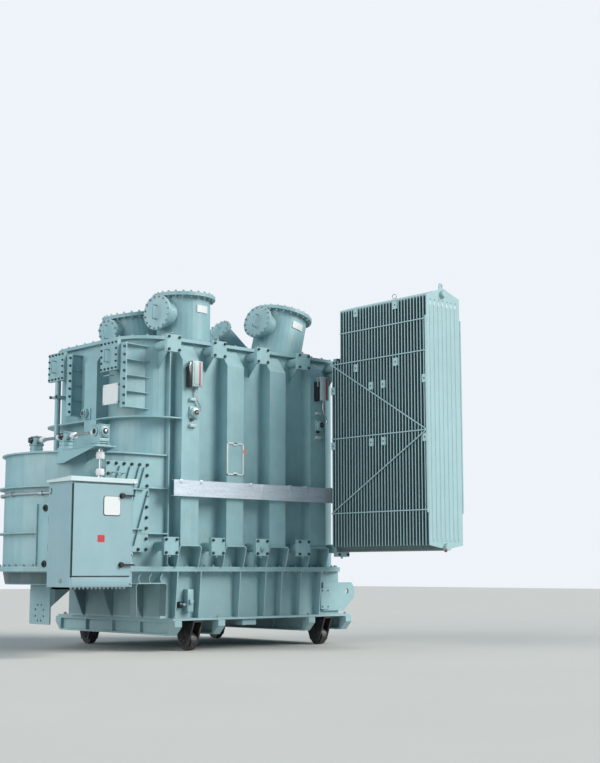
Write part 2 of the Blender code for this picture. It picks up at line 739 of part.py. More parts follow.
def fin_outline(foot, head, peaked_head):
    """One radiator panel: square corners below, edges rising to a flat peak over each header."""
    half, flat = FIN_WIDTH / 2, FIN_PEAK_FLAT / 2
    x = FITTED_X
    points = [
        (x - half, foot),
        (x - flat, foot - FIN_PEAK / 2),
        (x + flat, foot - FIN_PEAK / 2),
        (x + half, foot),
        (x + half, head),
    ]
    if peaked_head:
        points += [(x + flat, head + FIN_PEAK), (x - flat, head + FIN_PEAK)]
    points.append((x - half, head))
    return points


def fin_row(first, count, head, peaked_head):
    row = []
    for index in range(count):
        y = first - index * FIN_PITCH
        outline = fin_outline(FIN_FOOT_Z, head, peaked_head)
        row.append(prism([outline], y - FIN_THICKNESS / 2, y + FIN_THICKNESS / 2, "Y"))
    return gather(row)


def bent_pipe(points, radius):
    """A pipe along a route, with its ends closed."""
    curve = bpy.data.curves.new("pipe", "CURVE")
    curve.dimensions = "3D"
    curve.bevel_depth = radius
    curve.bevel_resolution = 2
    curve.use_fill_caps = True
    spline = curve.splines.new("POLY")
    spline.points.add(len(points) - 1)
    for point, place in zip(spline.points, points):
        point.co = (*place, 1)
    guide = bpy.data.objects.new("pipe", curve)
    bpy.context.scene.collection.objects.link(guide)
    graph = bpy.context.evaluated_depsgraph_get()
    mesh = bpy.data.meshes.new_from_object(guide.evaluated_get(graph))
    bpy.data.objects.remove(guide)
    shape = bmesh.new()
    shape.from_mesh(mesh)
    bpy.data.meshes.remove(mesh)
    bmesh.ops.remove_doubles(shape, verts=shape.verts, dist=GAP / 4)
    return scratch(shape)


def swan_neck(flange_y, header_y):
    """The upper pipe: level out of the flange, up between tank and fins, level again into the header."""
    rise_y = flange_y - STUB_FLANGE_THICKNESS - NECK_BEND
    low, high = STUB_TOP_Z, HEADER_TOP_Z
    bend = NECK_BEND
    lower = arc((rise_y + bend, low + bend), bend, 270, 180, BEND_STEPS)
    upper = arc((rise_y - bend, high - bend), bend, 0, 90, BEND_STEPS)
    route = [(flange_y, low), *lower, *upper, (header_y, high)]
    return bent_pipe([(FITTED_X, y, z) for y, z in route], STUB_RADIUS * NECK_PIPE_SHARE)


def make_radiator():
    """Thirty-three pressed panels on two headers, hung from the tank's pipe flanges."""
    last_fin = FIRST_FIN_Y - (SHORT_FIN_COUNT + FIN_COUNT - 1) * FIN_PITCH
    first_tall = FIRST_FIN_Y - SHORT_FIN_COUNT * FIN_PITCH
    flange_y = -STUB_END + STUB_FLANGE_THICKNESS - GAP
    x, half = FITTED_X, STUB_FLANGE / 2
    end = last_fin - FIN_THICKNESS / 2 - HEADER_PLUG_LENGTH
    fins = gather([fin_row(FIRST_FIN_Y, SHORT_FIN_COUNT, SHORT_FIN_HEAD_Z, False),
                   fin_row(first_tall, FIN_COUNT, FIN_HEAD_Z, True)])
    pipes = fuse(
        rod((x, flange_y, STUB_FOOT_Z), (x, end, HEADER_FOOT_Z), HEADER_RADIUS, SMALL_SIDES),
        block((x - half, flange_y - STUB_FLANGE_THICKNESS, STUB_FOOT_Z - half), (x + half, flange_y, STUB_FOOT_Z + half)),
    )
    upper = fuse(
        swan_neck(flange_y, first_tall - FIN_PITCH / 2),
        rod((x, first_tall + FIN_PITCH / 3, HEADER_TOP_Z), (x, end, HEADER_TOP_Z), HEADER_RADIUS, SMALL_SIDES),
        block((x - half, flange_y - STUB_FLANGE_THICKNESS, STUB_TOP_Z - half), (x + half, flange_y, STUB_TOP_Z + half)),
    )
    bank = fuse(fins, gather([pipes, upper]))
    keep("radiator_bank", bank, PAINT, round_piece=True)


def make_stays():
    """Tie rods and clips that hold the panel edges, on both sides of the bank."""
    front = FIRST_FIN_Y - (SHORT_FIN_COUNT + FIN_COUNT - 1) * FIN_PITCH
    back, middle = FIRST_FIN_Y, FIRST_FIN_Y - SHORT_FIN_COUNT * FIN_PITCH
    lowest, knee, upper = STAY_HEIGHTS[:3]
    for name, side in (("left", -1), ("right", 1)):
        x = FITTED_X + side * (FIN_WIDTH / 2 + GAP + STAY_RADIUS)
        rods = []
        for height in STAY_HEIGHTS:
            inner = back if height < SHORT_FIN_HEAD_Z else middle
            rods.append(rod((x, inner, height), (x, front, height), STAY_RADIUS, SMALL_SIDES))
        outer = x + side * STAY_RADIUS
        for end_z in (upper, lowest):
            rods.append(rod((outer, back, end_z), (outer, front, knee), STAY_RADIUS, SMALL_SIDES))
        inner_face = x - side * STAY_RADIUS / 2
        strip_low = min(inner_face, inner_face + side * (CLIP_THICKNESS + STAY_RADIUS))
        strip_high = max(inner_face, inner_face + side * (CLIP_THICKNESS + STAY_RADIUS))
        post = block(
            (strip_low, front - CLIP_THICKNESS, STAY_HEIGHTS[0] - CLIP_SIZE / 2),
            (strip_high, front + CLIP_THICKNESS, STAY_HEIGHTS[-1] + CLIP_SIZE / 2),
        )
        keep(f"radiator_stays_{name}", fuse(post, *rods), PALE_PAINT)


def turret(height, neck_radius, rim_radius):
    """A bushing turret about the cover: barrel, bolted flange, lid, hand-hole neck and its flange."""
    top = height
    barrel = rod((0, 0, -TURRET_RADIUS), (0, 0, top), TURRET_RADIUS, BIG_SIDES)
    flange = rod((0, 0, top - TURRET_FLANGE_THICKNESS), (0, 0, top), TURRET_FLANGE_RADIUS, BIG_SIDES)
    neck_z = top - TURRET_FLANGE_THICKNESS - rim_radius
    turn = Matrix.Rotation(math.radians(NECK_TURN), 4, "Z")
    neck = rod((0, 0, neck_z), (-NECK_REACH, 0, neck_z), neck_radius, BIG_SIDES)
    rim = rod(
        (-NECK_REACH, 0, neck_z), (-NECK_REACH + NECK_FLANGE_THICKNESS, 0, neck_z), rim_radius, BIG_SIDES
    )
    neck.data.transform(turn)
    rim.data.transform(turn)
    lid = rod((0, 0, top + GAP), (0, 0, top + GAP + TURRET_LID_THICKNESS), TURRET_FLANGE_RADIUS, BIG_SIDES)
    plate = rod(
        (-NECK_REACH - GAP, 0, neck_z),
        (-NECK_REACH - GAP - NECK_COVER_THICKNESS, 0, neck_z),
        rim_radius,
        BIG_SIDES,
    )
    plate.data.transform(turn)
    return fuse(barrel, flange, neck, rim), lid, plate


def above_cover(piece):
    """Trims a slanted piece level with the top of the tank cover."""
    reach = TANK_LENGTH
    below = block((-reach, -reach, COVER_TOP - TANK_TOP), (reach, reach, COVER_TOP + GAP))
    return cut(piece, below)


def on_cover(shares, lift=0):
    """A place on the tank cover from its shares of the half length and the width."""
    return Matrix.Translation((HALF_LENGTH * shares[0], -HALF_WIDTH + TANK_WIDTH * shares[1], COVER_TOP + lift))


def make_turrets():
    tall = (TALL_TURRET_HEIGHT, NECK_RADIUS, NECK_FLANGE_RADIUS)
    low = (LOW_TURRET_HEIGHT, LOW_NECK_RADIUS, LOW_NECK_FLANGE_RADIUS)
    for name, shares in TURRET_SHARES.items():
        body, lid, hand_cover = turret(*(low if name == "left_back" else tall))
        place = on_cover(shares) @ Matrix.Rotation(math.radians(TURRET_TILTS[name]), 4, "Y")
        body.data.transform(place)
        lid.data.transform(place)
        hand_cover.data.transform(place)
        keep(f"turret_{name}", above_cover(body), PAINT, round_piece=True)
        keep(f"turret_lid_{name}", lid, PAINT, round_piece=True)
        keep(f"hand_hole_cover_{name}", hand_cover, PAINT, round_piece=True)
    reach = 2 * SLANTED_TURRET_LIFT
    barrel = rod((0, 0, -reach), (0, 0, 0), SLANTED_TURRET_RADIUS, BIG_SIDES)
    rim = rod((0, 0, -NECK_FLANGE_THICKNESS), (0, 0, 0), NECK_FLANGE_RADIUS, BIG_SIDES)
    plate = rod((0, 0, GAP), (0, 0, GAP + NECK_COVER_THICKNESS), NECK_FLANGE_RADIUS, BIG_SIDES)
    place = on_cover(SLANTED_TURRET_SHARES, SLANTED_TURRET_LIFT)
    place = place @ Matrix.Rotation(math.radians(SLANTED_TURRET_TILT), 4, "Y")
    fuse(barrel, rim)
    barrel.data.transform(place)
    plate.data.transform(place)
    keep("turret_right_back", above_cover(barrel), PAINT, round_piece=True)
    keep("hand_hole_cover_right_back", plate, PAINT, round_piece=True)


def outside_tank(piece):
    """Trims a piece to the walls of the upper tank, with the gap that touching pieces keep."""
    return cut(piece, prism([tank_plan(GAP)], FLANGE_Z, COVER_TOP), solver=WELD)


def make_end_blanks():
    """Square bolted covers on short necks at the left end."""
    for name, y in BLANK_PLACES.items():
        half, neck = BLANK_SIZE / 2, BLANK_NECK_SIZE / 2
        face, end = -HALF_LENGTH - BLANK_REACH, -HALF_LENGTH + TANK_CORNER * BLANK_NECK_SHARE
        box = block((face, y - neck, BLANK_Z - neck), (end, y + neck, BLANK_Z + neck))
        plate = block((face, y - half, BLANK_Z - half), (face + 2 * BLANK_THICKNESS, y + half, BLANK_Z + half))
        keep(f"end_blank_{name}", outside_tank(fuse(box, plate)), PAINT)


def make_end_ribs():
    """Bolted strips at the left end, each on five shelves and an upright sheet."""
    for name, blank_y in BLANK_PLACES.items():
        y = blank_y - END_RIB_OFFSET
        side = -1 if y < 0 else 1
        half, face = END_RIB_WIDTH / 2, -HALF_LENGTH - END_RIB_REACH
        strip = block((face, y - half, END_RIB_FOOT), (face + END_RIB_PLATE, y + half, END_RIB_HEAD))
        start, end = face + SINK, face + END_RIB_RUN
        inner, outer = y - side * (half - SINK), y + side * (half - SINK)
        outline = [(start, outer), (start, inner), (end, inner), (end, y)]
        low, high = END_RIB_FOOT + SINK, END_RIB_HEAD - SINK
        pieces = []
        for index in range(END_RIB_SHELVES):
            z = low + (high - low - END_RIB_SHEET) * index / (END_RIB_SHELVES - 1)
            pieces.append(prism([outline], z, z + END_RIB_SHEET))
        sheet_y = y - side * half / 2
        pieces.append(
            block((start, sheet_y, low + SINK), (end - SINK, sheet_y + END_RIB_SHEET, high - SINK / 2))
        )
        keep(f"end_rib_{name}", outside_tank(fuse(strip, *pieces, solver=WELD)), PAINT)


def make_hatch():
    """A bolted plate on a raised frame at the chamber's front, with slanted ribs between."""
    wall = -HALF_WIDTH
    out = wall - HATCH_REACH
    plate = block((HATCH_LEFT, out - HATCH_PLATE, HATCH_FOOT), (HATCH_RIGHT, out, HATCH_HEAD))
    inner = HATCH_FRAME
    box = block(
        (HATCH_LEFT + inner, out - SINK, HATCH_FOOT + inner), (HATCH_RIGHT - inner, wall / 2, HATCH_HEAD - inner)
    )
    piece = fuse(plate, box)
    slots = [
        prism([chamber_plan(CHAMBER_RIB_REACH + GAP)], height - GAP, height + CHAMBER_RIB_THICKNESS + GAP)
        for height in CHAMBER_RIB_HEIGHTS
    ]
    keep("chamber_hatch", cut(piece, prism([chamber_plan(GAP)], FLANGE_Z, TANK_TOP), *slots), PAINT)


def make_tray():
    """A zinc channel across the stiffeners' faces."""
    back = -STIFFENER_OUT - GAP
    front = back - TRAY_DEPTH
    sheet = TRAY_SHEET
    top = TRAY_FOOT_Z + TRAY_HEIGHT
    outline = [
        (back, TRAY_FOOT_Z),
        (front, TRAY_FOOT_Z),
        (front, top),
        (back, top),
        (back, top - sheet),
        (front + sheet, top - sheet),
        (front + sheet, TRAY_FOOT_Z + sheet),
        (back, TRAY_FOOT_Z + sheet),
    ]
    tray = prism([outline], -HALF_LENGTH + TRAY_LEFT_SETBACK, HALF_LENGTH - TRAY_RIGHT_SETBACK, "X")
    keep("cable_tray", tray, ZINC)


def make_cabinet():
    """Sheet cabinet with a door on its front, two turning handles and a roof."""
    left, front, foot = CABINET_LEFT, CABINET_FRONT, CABINET_FOOT
    right, back, top = left + CABINET_WIDTH, front + CABINET_DEPTH, foot + CABINET_HEIGHT
    sheet, edge = CABINET_SHEET, CABINET_RETURN
    shell = block((left, front, foot), (right, back, top))
    hollow = block((left + sheet, front + sheet, foot + sheet), (right - sheet, back - sheet, top - sheet))
    mouth_foot = foot + DOOR_FOOT_MARGIN + edge / 2
    mouth = block((left + edge, front - edge, mouth_foot), (right - 2 * edge, front + 2 * sheet, top - edge))
    keep("cabinet_shell", cut(shell, fuse(hollow, mouth)), PAINT)
    over = ROOF_OVERHANG
    outline = [
        (front - over, top + GAP),
        (back, top + GAP),
        (back, top + ROOF_THICKNESS),
        (front - over, top + ROOF_THICKNESS + ROOF_FALL),
    ]
    keep("cabinet_roof", prism([outline], left - over, right + over, "X"), PALE_PAINT)
    door_left, door_right = left + DOOR_HINGE_MARGIN, right - DOOR_LATCH_MARGIN
    door_foot, door_top = foot + DOOR_FOOT_MARGIN, top - DOOR_MARGIN
    door_back = front - RUN_GAP
    door_front = door_back - DOOR_THICKNESS
    hinge = (door_left, door_front, door_foot)
    door = keep(
        "cabinet_door",
        block((door_left, door_front, door_foot), (door_right, door_back, door_top)),
        PALE_PAINT,
        pivot=hinge,
    )
    for name, share in zip(("lower", "upper"), HANDLE_HEIGHT_SHARES):
        z = door_foot + (door_top - door_foot) * share
        x = door_right - HANDLE_INSET
        knob = rod((x, door_front - RUN_GAP, z), (x, door_front - HANDLE_STEM, z), HANDLE_RADIUS, SMALL_SIDES)
        lever = block(
            (x, door_front - HANDLE_STEM, z - HANDLE_LEVER_WIDTH / 2),
            (x + HANDLE_LEVER, door_front - HANDLE_STEM / 2, z + HANDLE_LEVER_WIDTH / 2),
        )
        keep(f"door_handle_{name}", fuse(knob, lever), BLACK_PLASTIC, pivot=(x, door_front, z), parent=door)


def make_cabinet_bracket():
    """Two bars behind the cabinet on arms from the chamber's wall."""
    back = CABINET_FRONT + CABINET_DEPTH + GAP
    left = CABINET_LEFT + 2 * BRACKET_BAR
    right = CABINET_LEFT + CABINET_WIDTH - 2 * BRACKET_BAR
    heights = [CABINET_FOOT + CABINET_HEIGHT * share for share in BRACKET_HEIGHT_SHARES]
    bar, wall = BRACKET_BAR, -HALF_WIDTH * BRACKET_DEPTH_SHARE
    pieces = []
    for x in (left, right - bar):
        pieces.append(block((x, back + SINK, heights[0] + SINK), (x + bar, back + bar - SINK, heights[1] + SINK)))
    for z in heights:
        pieces.append(block((left - SINK, back, z), (right + SINK, back + bar, z + bar)))
        for x in (-HALF_LENGTH - HALF_WIDTH * BRACKET_ARM_SHARE, right - bar):
            pieces.append(block((x, back + 2 * SINK, z + SINK), (x + bar - SINK, wall, z + bar - SINK)))
    piece = fuse(*pieces)
    piece = cut(piece, prism([chamber_plan(GAP)], BELL_FOOT, TANK_TOP))
    keep("cabinet_bracket", piece, PAINT)


def make_drive():
    """Drive rod from the cabinet up to a bevel box, and on to two heads on the chamber."""
    x, y = DRIVE_X, DRIVE_Y
    half = DRIVE_SHELF_WIDTH / 2
    shelf_z = CHAMBER_TOP + GAP
    front, back = -HALF_WIDTH - DRIVE_SHELF_REACH, -HALF_WIDTH + DRIVE_SHELF_SETBACK
    shelf = block((x - half, front, shelf_z), (x + half, back, shelf_z + DRIVE_PLATE))
    wall = -math.sqrt(HALF_WIDTH**2 - DRIVE_SETOUT**2)
    low_z, high_z, under_z = shelf_z - DRIVE_GUSSET_DROP, shelf_z + SINK, CHAMBER_TOP - SINK
    near = back - SINK
    gusset = [(front, high_z), (wall, low_z), (wall / 2, low_z), (wall / 2, under_z), (near, under_z), (near, high_z)]
    gussets = [
        prism([gusset], place - DRIVE_PLATE / 2, place + DRIVE_PLATE / 2, "X")
        for place in (x - half + DRIVE_PLATE, x + half - DRIVE_PLATE)
    ]
    fuse(shelf, *gussets)
    cut(
        shelf,
        prism([chamber_plan(GAP)], BELL_FOOT, CHAMBER_TOP + GAP / 2),
        prism([chamber_plan(CHAMBER_RIM_REACH + GAP)], CHAMBER_TOP - CHAMBER_RIM_THICKNESS - GAP, CHAMBER_TOP + GAP / 2),
        rod((x, y, shelf_z - half), (x, y, shelf_z + half), COUPLING_RADIUS + SWING_GAP),
    )
    keep("drive_bracket", shelf, PAINT)
    box_half = GEARBOX_SIZE / 2
    box_foot = shelf_z + DRIVE_PLATE + GAP
    axis_z = box_foot + GEARBOX_LIFT + box_half
    box = block((x - box_half, y - box_half, box_foot + GEARBOX_LIFT), (x + box_half, y + box_half, axis_z + box_half))
    feet = [
        block((place, y - box_half, box_foot), (place + DRIVE_PLATE, y + box_half, box_foot + GEARBOX_LIFT + SINK))
        for place in (x - box_half, x + box_half - DRIVE_PLATE)
    ]
    front_cap = rod((x, y - box_half + SINK, axis_z), (x, y - box_half - DRIVE_PLATE, axis_z), GEARBOX_CAP_RADIUS)
    keep("drive_gearbox", fuse(box, *feet, front_cap), PAINT)
    roof_top = CABINET_FOOT + CABINET_HEIGHT + ROOF_THICKNESS + ROOF_FALL
    foot, head = roof_top + RUN_GAP, box_foot + GEARBOX_LIFT - RUN_GAP
    pieces = [rod((x, y, foot), (x, y, head), SHAFT_RADIUS, SMALL_SIDES)]
    for start in (foot, head - GEARBOX_LIFT - COUPLING_LENGTH - 2 * DRIVE_PLATE):
        pieces.append(rod((x, y, start), (x, y, start + COUPLING_LENGTH), COUPLING_RADIUS, SMALL_SIDES))
    keep("drive_rod_upright", fuse(*pieces), BRIGHT_STEEL, pivot=(x, y, foot))
    head_half = HEAD_SIZE / 2
    for name, place in zip(("front", "back"), HEAD_PLACES):
        flange = rod(
            (x, place, CHAMBER_TOP + GAP), (x, place, CHAMBER_TOP + GAP + HEAD_FOOT_THICKNESS), HEAD_FOOT_RADIUS
        )
        body_foot = CHAMBER_TOP + HEAD_FOOT_THICKNESS - SINK
        body = rod((x, place, body_foot), (x, place, axis_z + HEAD_SHOULDER), head_half, PIPE_SIDES)
        dome = rod((x, place, body_foot), (x, place, axis_z + HEAD_RISE), HEAD_DOME_RADIUS, PIPE_SIDES)
        boss = rod((x, place - head_half, axis_z), (x, place + head_half, axis_z), HEAD_BOSS_RADIUS, SMALL_SIDES)
        keep(f"drive_head_{name}", fuse(body, flange, dome, boss), PAINT)
    starts = (y + box_half, HEAD_PLACES[0] + head_half)
    ends = (HEAD_PLACES[0] - head_half, HEAD_PLACES[1] - head_half)
    for name, start, end in zip(("front", "back"), starts, ends):
        start, end = start + RUN_GAP, end - RUN_GAP
        pieces = [rod((x, start, axis_z), (x, end, axis_z), SHAFT_RADIUS, SMALL_SIDES)]
        for edge in (start, end - COUPLING_LENGTH):
            pieces.append(rod((x, edge, axis_z), (x, edge + COUPLING_LENGTH, axis_z), COUPLING_RADIUS, SMALL_SIDES))
        keep(f"drive_rod_{name}", fuse(*pieces), BRIGHT_STEEL, pivot=(x, start, axis_z))


def stand_on_origin():
    """Moves the frame so that the object's box stands centred over the origin."""
    bpy.context.view_layer.update()
    corners = [piece.matrix_world @ Vector(corner) for piece in parts.objects for corner in piece.bound_box]
    low = Vector(map(min, zip(*corners)))
    high = Vector(map(max, zip(*corners)))
    frame.location = (-(low.x + high.x) / 2, -(low.y + high.y) / 2, -low.z)
    bpy.context.view_layer.update()


clear_scene()
parts = new_collection("power_transformer")
frame = bpy.data.objects.new("tank_frame", None)
parts.objects.link(frame)
make_bell()
make_chamber()
make_cover()
make_base()
make_chamber_tray()
for number, place in enumerate(SKID_PLACES, 1):
    make_skid(number, place)
for name, (wheel_x, wheel_y) in wheel_places().items():
    make_bogie(name, wheel_x, wheel_y)
    make_roller(name, wheel_x, wheel_y)
make_stiffeners()
make_radiator()
make_stays()
make_turrets()
make_end_blanks()
make_end_ribs()
make_hatch()
make_tray()
make_cabinet()
make_cabinet_bracket()
make_drive()
stand_on_origin()
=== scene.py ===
import math

import bmesh
import bpy
from mathutils import Matrix, Vector


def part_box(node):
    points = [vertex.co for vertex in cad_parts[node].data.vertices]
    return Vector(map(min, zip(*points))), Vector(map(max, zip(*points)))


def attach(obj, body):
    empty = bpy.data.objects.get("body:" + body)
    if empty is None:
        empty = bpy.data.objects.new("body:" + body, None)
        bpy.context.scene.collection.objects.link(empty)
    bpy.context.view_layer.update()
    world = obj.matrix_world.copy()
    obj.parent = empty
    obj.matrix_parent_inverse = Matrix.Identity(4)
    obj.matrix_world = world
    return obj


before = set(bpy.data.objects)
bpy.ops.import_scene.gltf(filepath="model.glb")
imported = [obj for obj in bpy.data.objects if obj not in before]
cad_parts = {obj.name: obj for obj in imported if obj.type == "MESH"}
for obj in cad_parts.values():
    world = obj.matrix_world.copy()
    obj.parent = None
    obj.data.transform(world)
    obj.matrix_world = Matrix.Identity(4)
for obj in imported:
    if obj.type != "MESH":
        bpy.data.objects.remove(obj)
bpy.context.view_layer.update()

print("frame loaded, solids:", len(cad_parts))

# Camera, floor and light

coverLow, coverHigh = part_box("tank_cover")
tankMiddle = Vector(((coverLow.x + coverHigh.x) / 2, (coverLow.y + coverHigh.y) / 2, 0))

cameraSettings = {
    "offset": (-9.15, -11.88, 0.80),    # metres from the middle of the tank, at its foot
    "lens": 62.0,
    "sensor": 36.0,                     # along the picture's tall side
    "turn": -42.0,                      # degrees round from looking along +Y
    "tiltUp": 8.25,
}

stageSettings = {
    "floorSize": 90.0,
    "floorDrop": 0.001,                 # the floor lies this far under the rollers
    "floorColor": (0.50, 0.50, 0.48),
    "floorShade": 0.03,                 # how much its blotches differ from its colour
    "floorBlotch": 1 / 0.6,
    "skyColor": (0.47, 0.74, 0.96),
    "skyStrength": 0.37,
    "backgroundColor": (0.86, 0.90, 0.95),
    "aim": (0, 0, 1.8),
}

lampSettings = {
    # power, degrees across as the sun behind thin cloud, place from the tank's middle, colour
    "keyLamp": (4.1, 38.0, (7.5, -11.5, 11.0), (1.0, 0.96, 0.90)),
    "fillLamp": (2.8, 70.0, (-14.0, 1.5, 6.0), (1.0, 0.96, 0.92)),
}


def makeCamera(settings):
    data = bpy.data.cameras.new("yardCamera")
    data.lens = settings["lens"]
    data.sensor_width = settings["sensor"]
    data.clip_end = 200.0
    camera = bpy.data.objects.new("yardCamera", data)
    camera.location = tankMiddle + Vector(settings["offset"])
    camera.rotation_euler = (math.radians(90 + settings["tiltUp"]), 0, math.radians(settings["turn"]))
    bpy.context.scene.collection.objects.link(camera)
    bpy.context.scene.camera = camera


makeCamera(cameraSettings)


class nodeWriter:
    # places nodes in one tree and joins them, so that a finish reads as a short list of steps
    def __init__(self, tree):
        self.tree = tree

    def feed(self, socket, source):
        # a socket takes a number, a colour, or what another node gives
        if isinstance(source, bpy.types.NodeSocket):
            self.tree.links.new(source, socket)
        else:
            socket.default_value = (*source, 1) if socket.type == "RGBA" else source

    def add(self, kind, inputs=None, **options):
        node = self.tree.nodes.new("ShaderNode" + kind)
        for option, value in options.items():
            setattr(node, option, value)
        for socket, source in (inputs or {}).items():
            self.feed(node.inputs[socket], source)
        return node

    def place(self, scale=(1, 1, 1)):
        where = self.add("TexCoord").outputs["Object"]
        return self.add("Mapping", {"Scale": scale, "Vector": where}).outputs["Vector"]

    def noise(self, size, detail=4.0, rough=0.5, stretch=(1, 1, 1)):
        # a noise whose blotches are about this many metres across
        inputs = {"Scale": 1 / size, "Detail": detail, "Roughness": rough, "Vector": self.place(stretch)}
        return self.add("TexNoise", inputs).outputs["Fac"]

    def span(self, source, low, high, toLow=0.0, toHigh=1.0):
        inputs = {"Value": source, "From Min": low, "From Max": high, "To Min": toLow, "To Max": toHigh}
        return self.add("MapRange", inputs).outputs["Result"]

    def math(self, operation, first, second):
        return self.add("Math", {0: first, 1: second}, operation=operation).outputs["Value"]

    def product(self, first, *others):
        for other in others:
            first = self.math("MULTIPLY", first, other)
        return first

    def blend(self, amount, first, second):
        return self.add("Mix", {0: amount, 6: first, 7: second}, data_type="RGBA", clamp_factor=True).outputs[2]


def newMaterial(name):
    material = bpy.data.materials.new(name)
    material.use_nodes = True
    return material, nodeWriter(material.node_tree), material.node_tree.nodes["Principled BSDF"].inputs


def pick(settings, names):
    return [settings[name] for name in names.split()]


def newShapes(count):
    return [bmesh.new() for index in range(count)]


def newObject(name, shape, material):
    mesh = bpy.data.meshes.new(name)
    shape.to_mesh(mesh)
    shape.free()
    mesh.materials.append(material)
    made = bpy.data.objects.new(name, mesh)
    bpy.context.scene.collection.objects.link(made)
    return made


def makeFloor(settings):
    shape = bmesh.new()
    bmesh.ops.create_grid(shape, x_segments=1, y_segments=1, size=settings["floorSize"] / 2)
    bmesh.ops.translate(shape, vec=(0, 0, -settings["floorDrop"]), verts=shape.verts)
    material, write, sockets = newMaterial("studioFloor")
    dark, pale = [
        tuple(value * (1 + way * settings["floorShade"]) for value in settings["floorColor"]) for way in (-1, 1)
    ]
    write.feed(sockets["Base Color"], write.blend(write.noise(settings["floorBlotch"], 6.0), dark, pale))
    write.feed(sockets["Roughness"], 0.9)
    newObject("studioFloor", shape, material)


def makeWorld(settings):
    # the sky lights the object, and the camera sees a plain backdrop in its place
    world = bpy.data.worlds.new("softSky")
    world.use_nodes = True
    world.node_tree.nodes.clear()
    write = nodeWriter(world.node_tree)
    sky = write.add("Background", {"Color": settings["skyColor"], "Strength": settings["skyStrength"]})
    backdrop = write.add("Background", {"Color": settings["backgroundColor"], "Strength": 1.0})
    seen = write.add("LightPath").outputs["Is Camera Ray"]
    mix = write.add("MixShader", {0: seen, 1: sky.outputs[0], 2: backdrop.outputs[0]})
    write.add("OutputWorld", {"Surface": mix.outputs[0]})
    bpy.context.scene.world = world


def makeLamp(name, power, softness, place, color):
    data = bpy.data.lights.new(name, "SUN")
    data.energy = power
    data.angle = math.radians(softness)
    data.color = color
    lamp = bpy.data.objects.new(name, data)
    lamp.location = tankMiddle + Vector(place)
    aim = Vector(stageSettings["aim"]) - Vector(place)
    lamp.rotation_euler = aim.to_track_quat("-Z", "Y").to_euler()
    bpy.context.scene.collection.objects.link(lamp)


makeFloor(stageSettings)
makeWorld(stageSettings)
for name, values in lampSettings.items():
    makeLamp(name, *values)
bpy.context.scene.view_settings.view_transform = "Standard"
print("camera, floor and lamps ready")

# Effects that several finishes share, as node groups


def newGroup(name, inputs):
    # a node tree with these inputs, which gives a colour, a roughness and a height
    tree = bpy.data.node_groups.new(name, "ShaderNodeTree")
    for label, value in inputs.items():
        kind, value = ("Color", (*value, 1)) if isinstance(value, tuple) else ("Float", value)
        socket = tree.interface.new_socket(label, in_out="INPUT", socket_type="NodeSocket" + kind)
        socket.default_value = value
    for label, kind in (("Color", "Color"), ("Roughness", "Float"), ("Height", "Float")):
        tree.interface.new_socket(label, in_out="OUTPUT", socket_type="NodeSocket" + kind)
    return nodeWriter(tree), tree.nodes.new("NodeGroupInput").outputs, tree.nodes.new("NodeGroupOutput").inputs


def makeEnamelGroup():
    # sprayed enamel: slow changes of shade, rain streaks, settled dust on what faces up, splashed dirt low down
    write, given, out = newGroup("sprayedEnamel", {
        "Paint": (0.24, 0.42, 0.46), "Dust": (0.42, 0.40, 0.36), "Dust Amount": 0.35,
        "Streak Amount": 0.25, "Shade": 0.10, "Gloss": 0.38,
    })
    clouds = write.span(write.noise(1.1, 5.0, 0.55), 0.30, 0.70, -1.0, 1.0)
    patches = write.span(write.noise(0.16, 4.0, 0.6), 0.35, 0.65, -0.5, 0.5)
    shade = write.product(write.math("ADD", clouds, patches), given["Shade"])
    toned = write.add("HueSaturation", {"Color": given["Paint"], "Value": write.math("ADD", shade, 1.0)})
    streaks = write.span(write.noise(0.05, 6.0, 0.62, (1, 1, 0.06)), 0.52, 0.74)
    broad = write.span(write.noise(0.5, 3.0, 0.5), 0.40, 0.62)
    streakMask = write.product(streaks, broad, given["Streak Amount"])
    streaked = write.blend(streakMask, toned.outputs["Color"], given["Dust"])
    normal = write.add("SeparateXYZ", {"Vector": write.add("TexCoord").outputs["Normal"]}).outputs["Z"]
    height = write.add("SeparateXYZ", {"Vector": write.place()}).outputs["Z"]
    settled = write.math("MAXIMUM", write.span(normal, 0.35, 0.95), write.span(height, 0.0, 0.9, 0.75, 0.0))
    speckle = write.span(write.noise(0.012, 6.0, 0.7), 0.42, 0.66)
    soft = write.math("ADD", write.product(speckle, 0.75), 0.25)
    dustMask = write.product(settled, soft, given["Dust Amount"])
    write.feed(out["Color"], write.blend(dustMask, streaked, given["Dust"]))
    rough = write.math("ADD", given["Gloss"], write.span(write.noise(0.09, 5.0, 0.6), 0.3, 0.7, -0.05, 0.09))
    dull = write.product(write.math("MAXIMUM", dustMask, streakMask), 0.5)
    write.feed(out["Roughness"], write.math("ADD", rough, dull))
    peel = write.product(write.noise(0.0035, 2.0, 0.5), 0.5)
    write.feed(out["Height"], write.math("ADD", peel, write.noise(0.07, 2.0, 0.4)))
    return write.tree


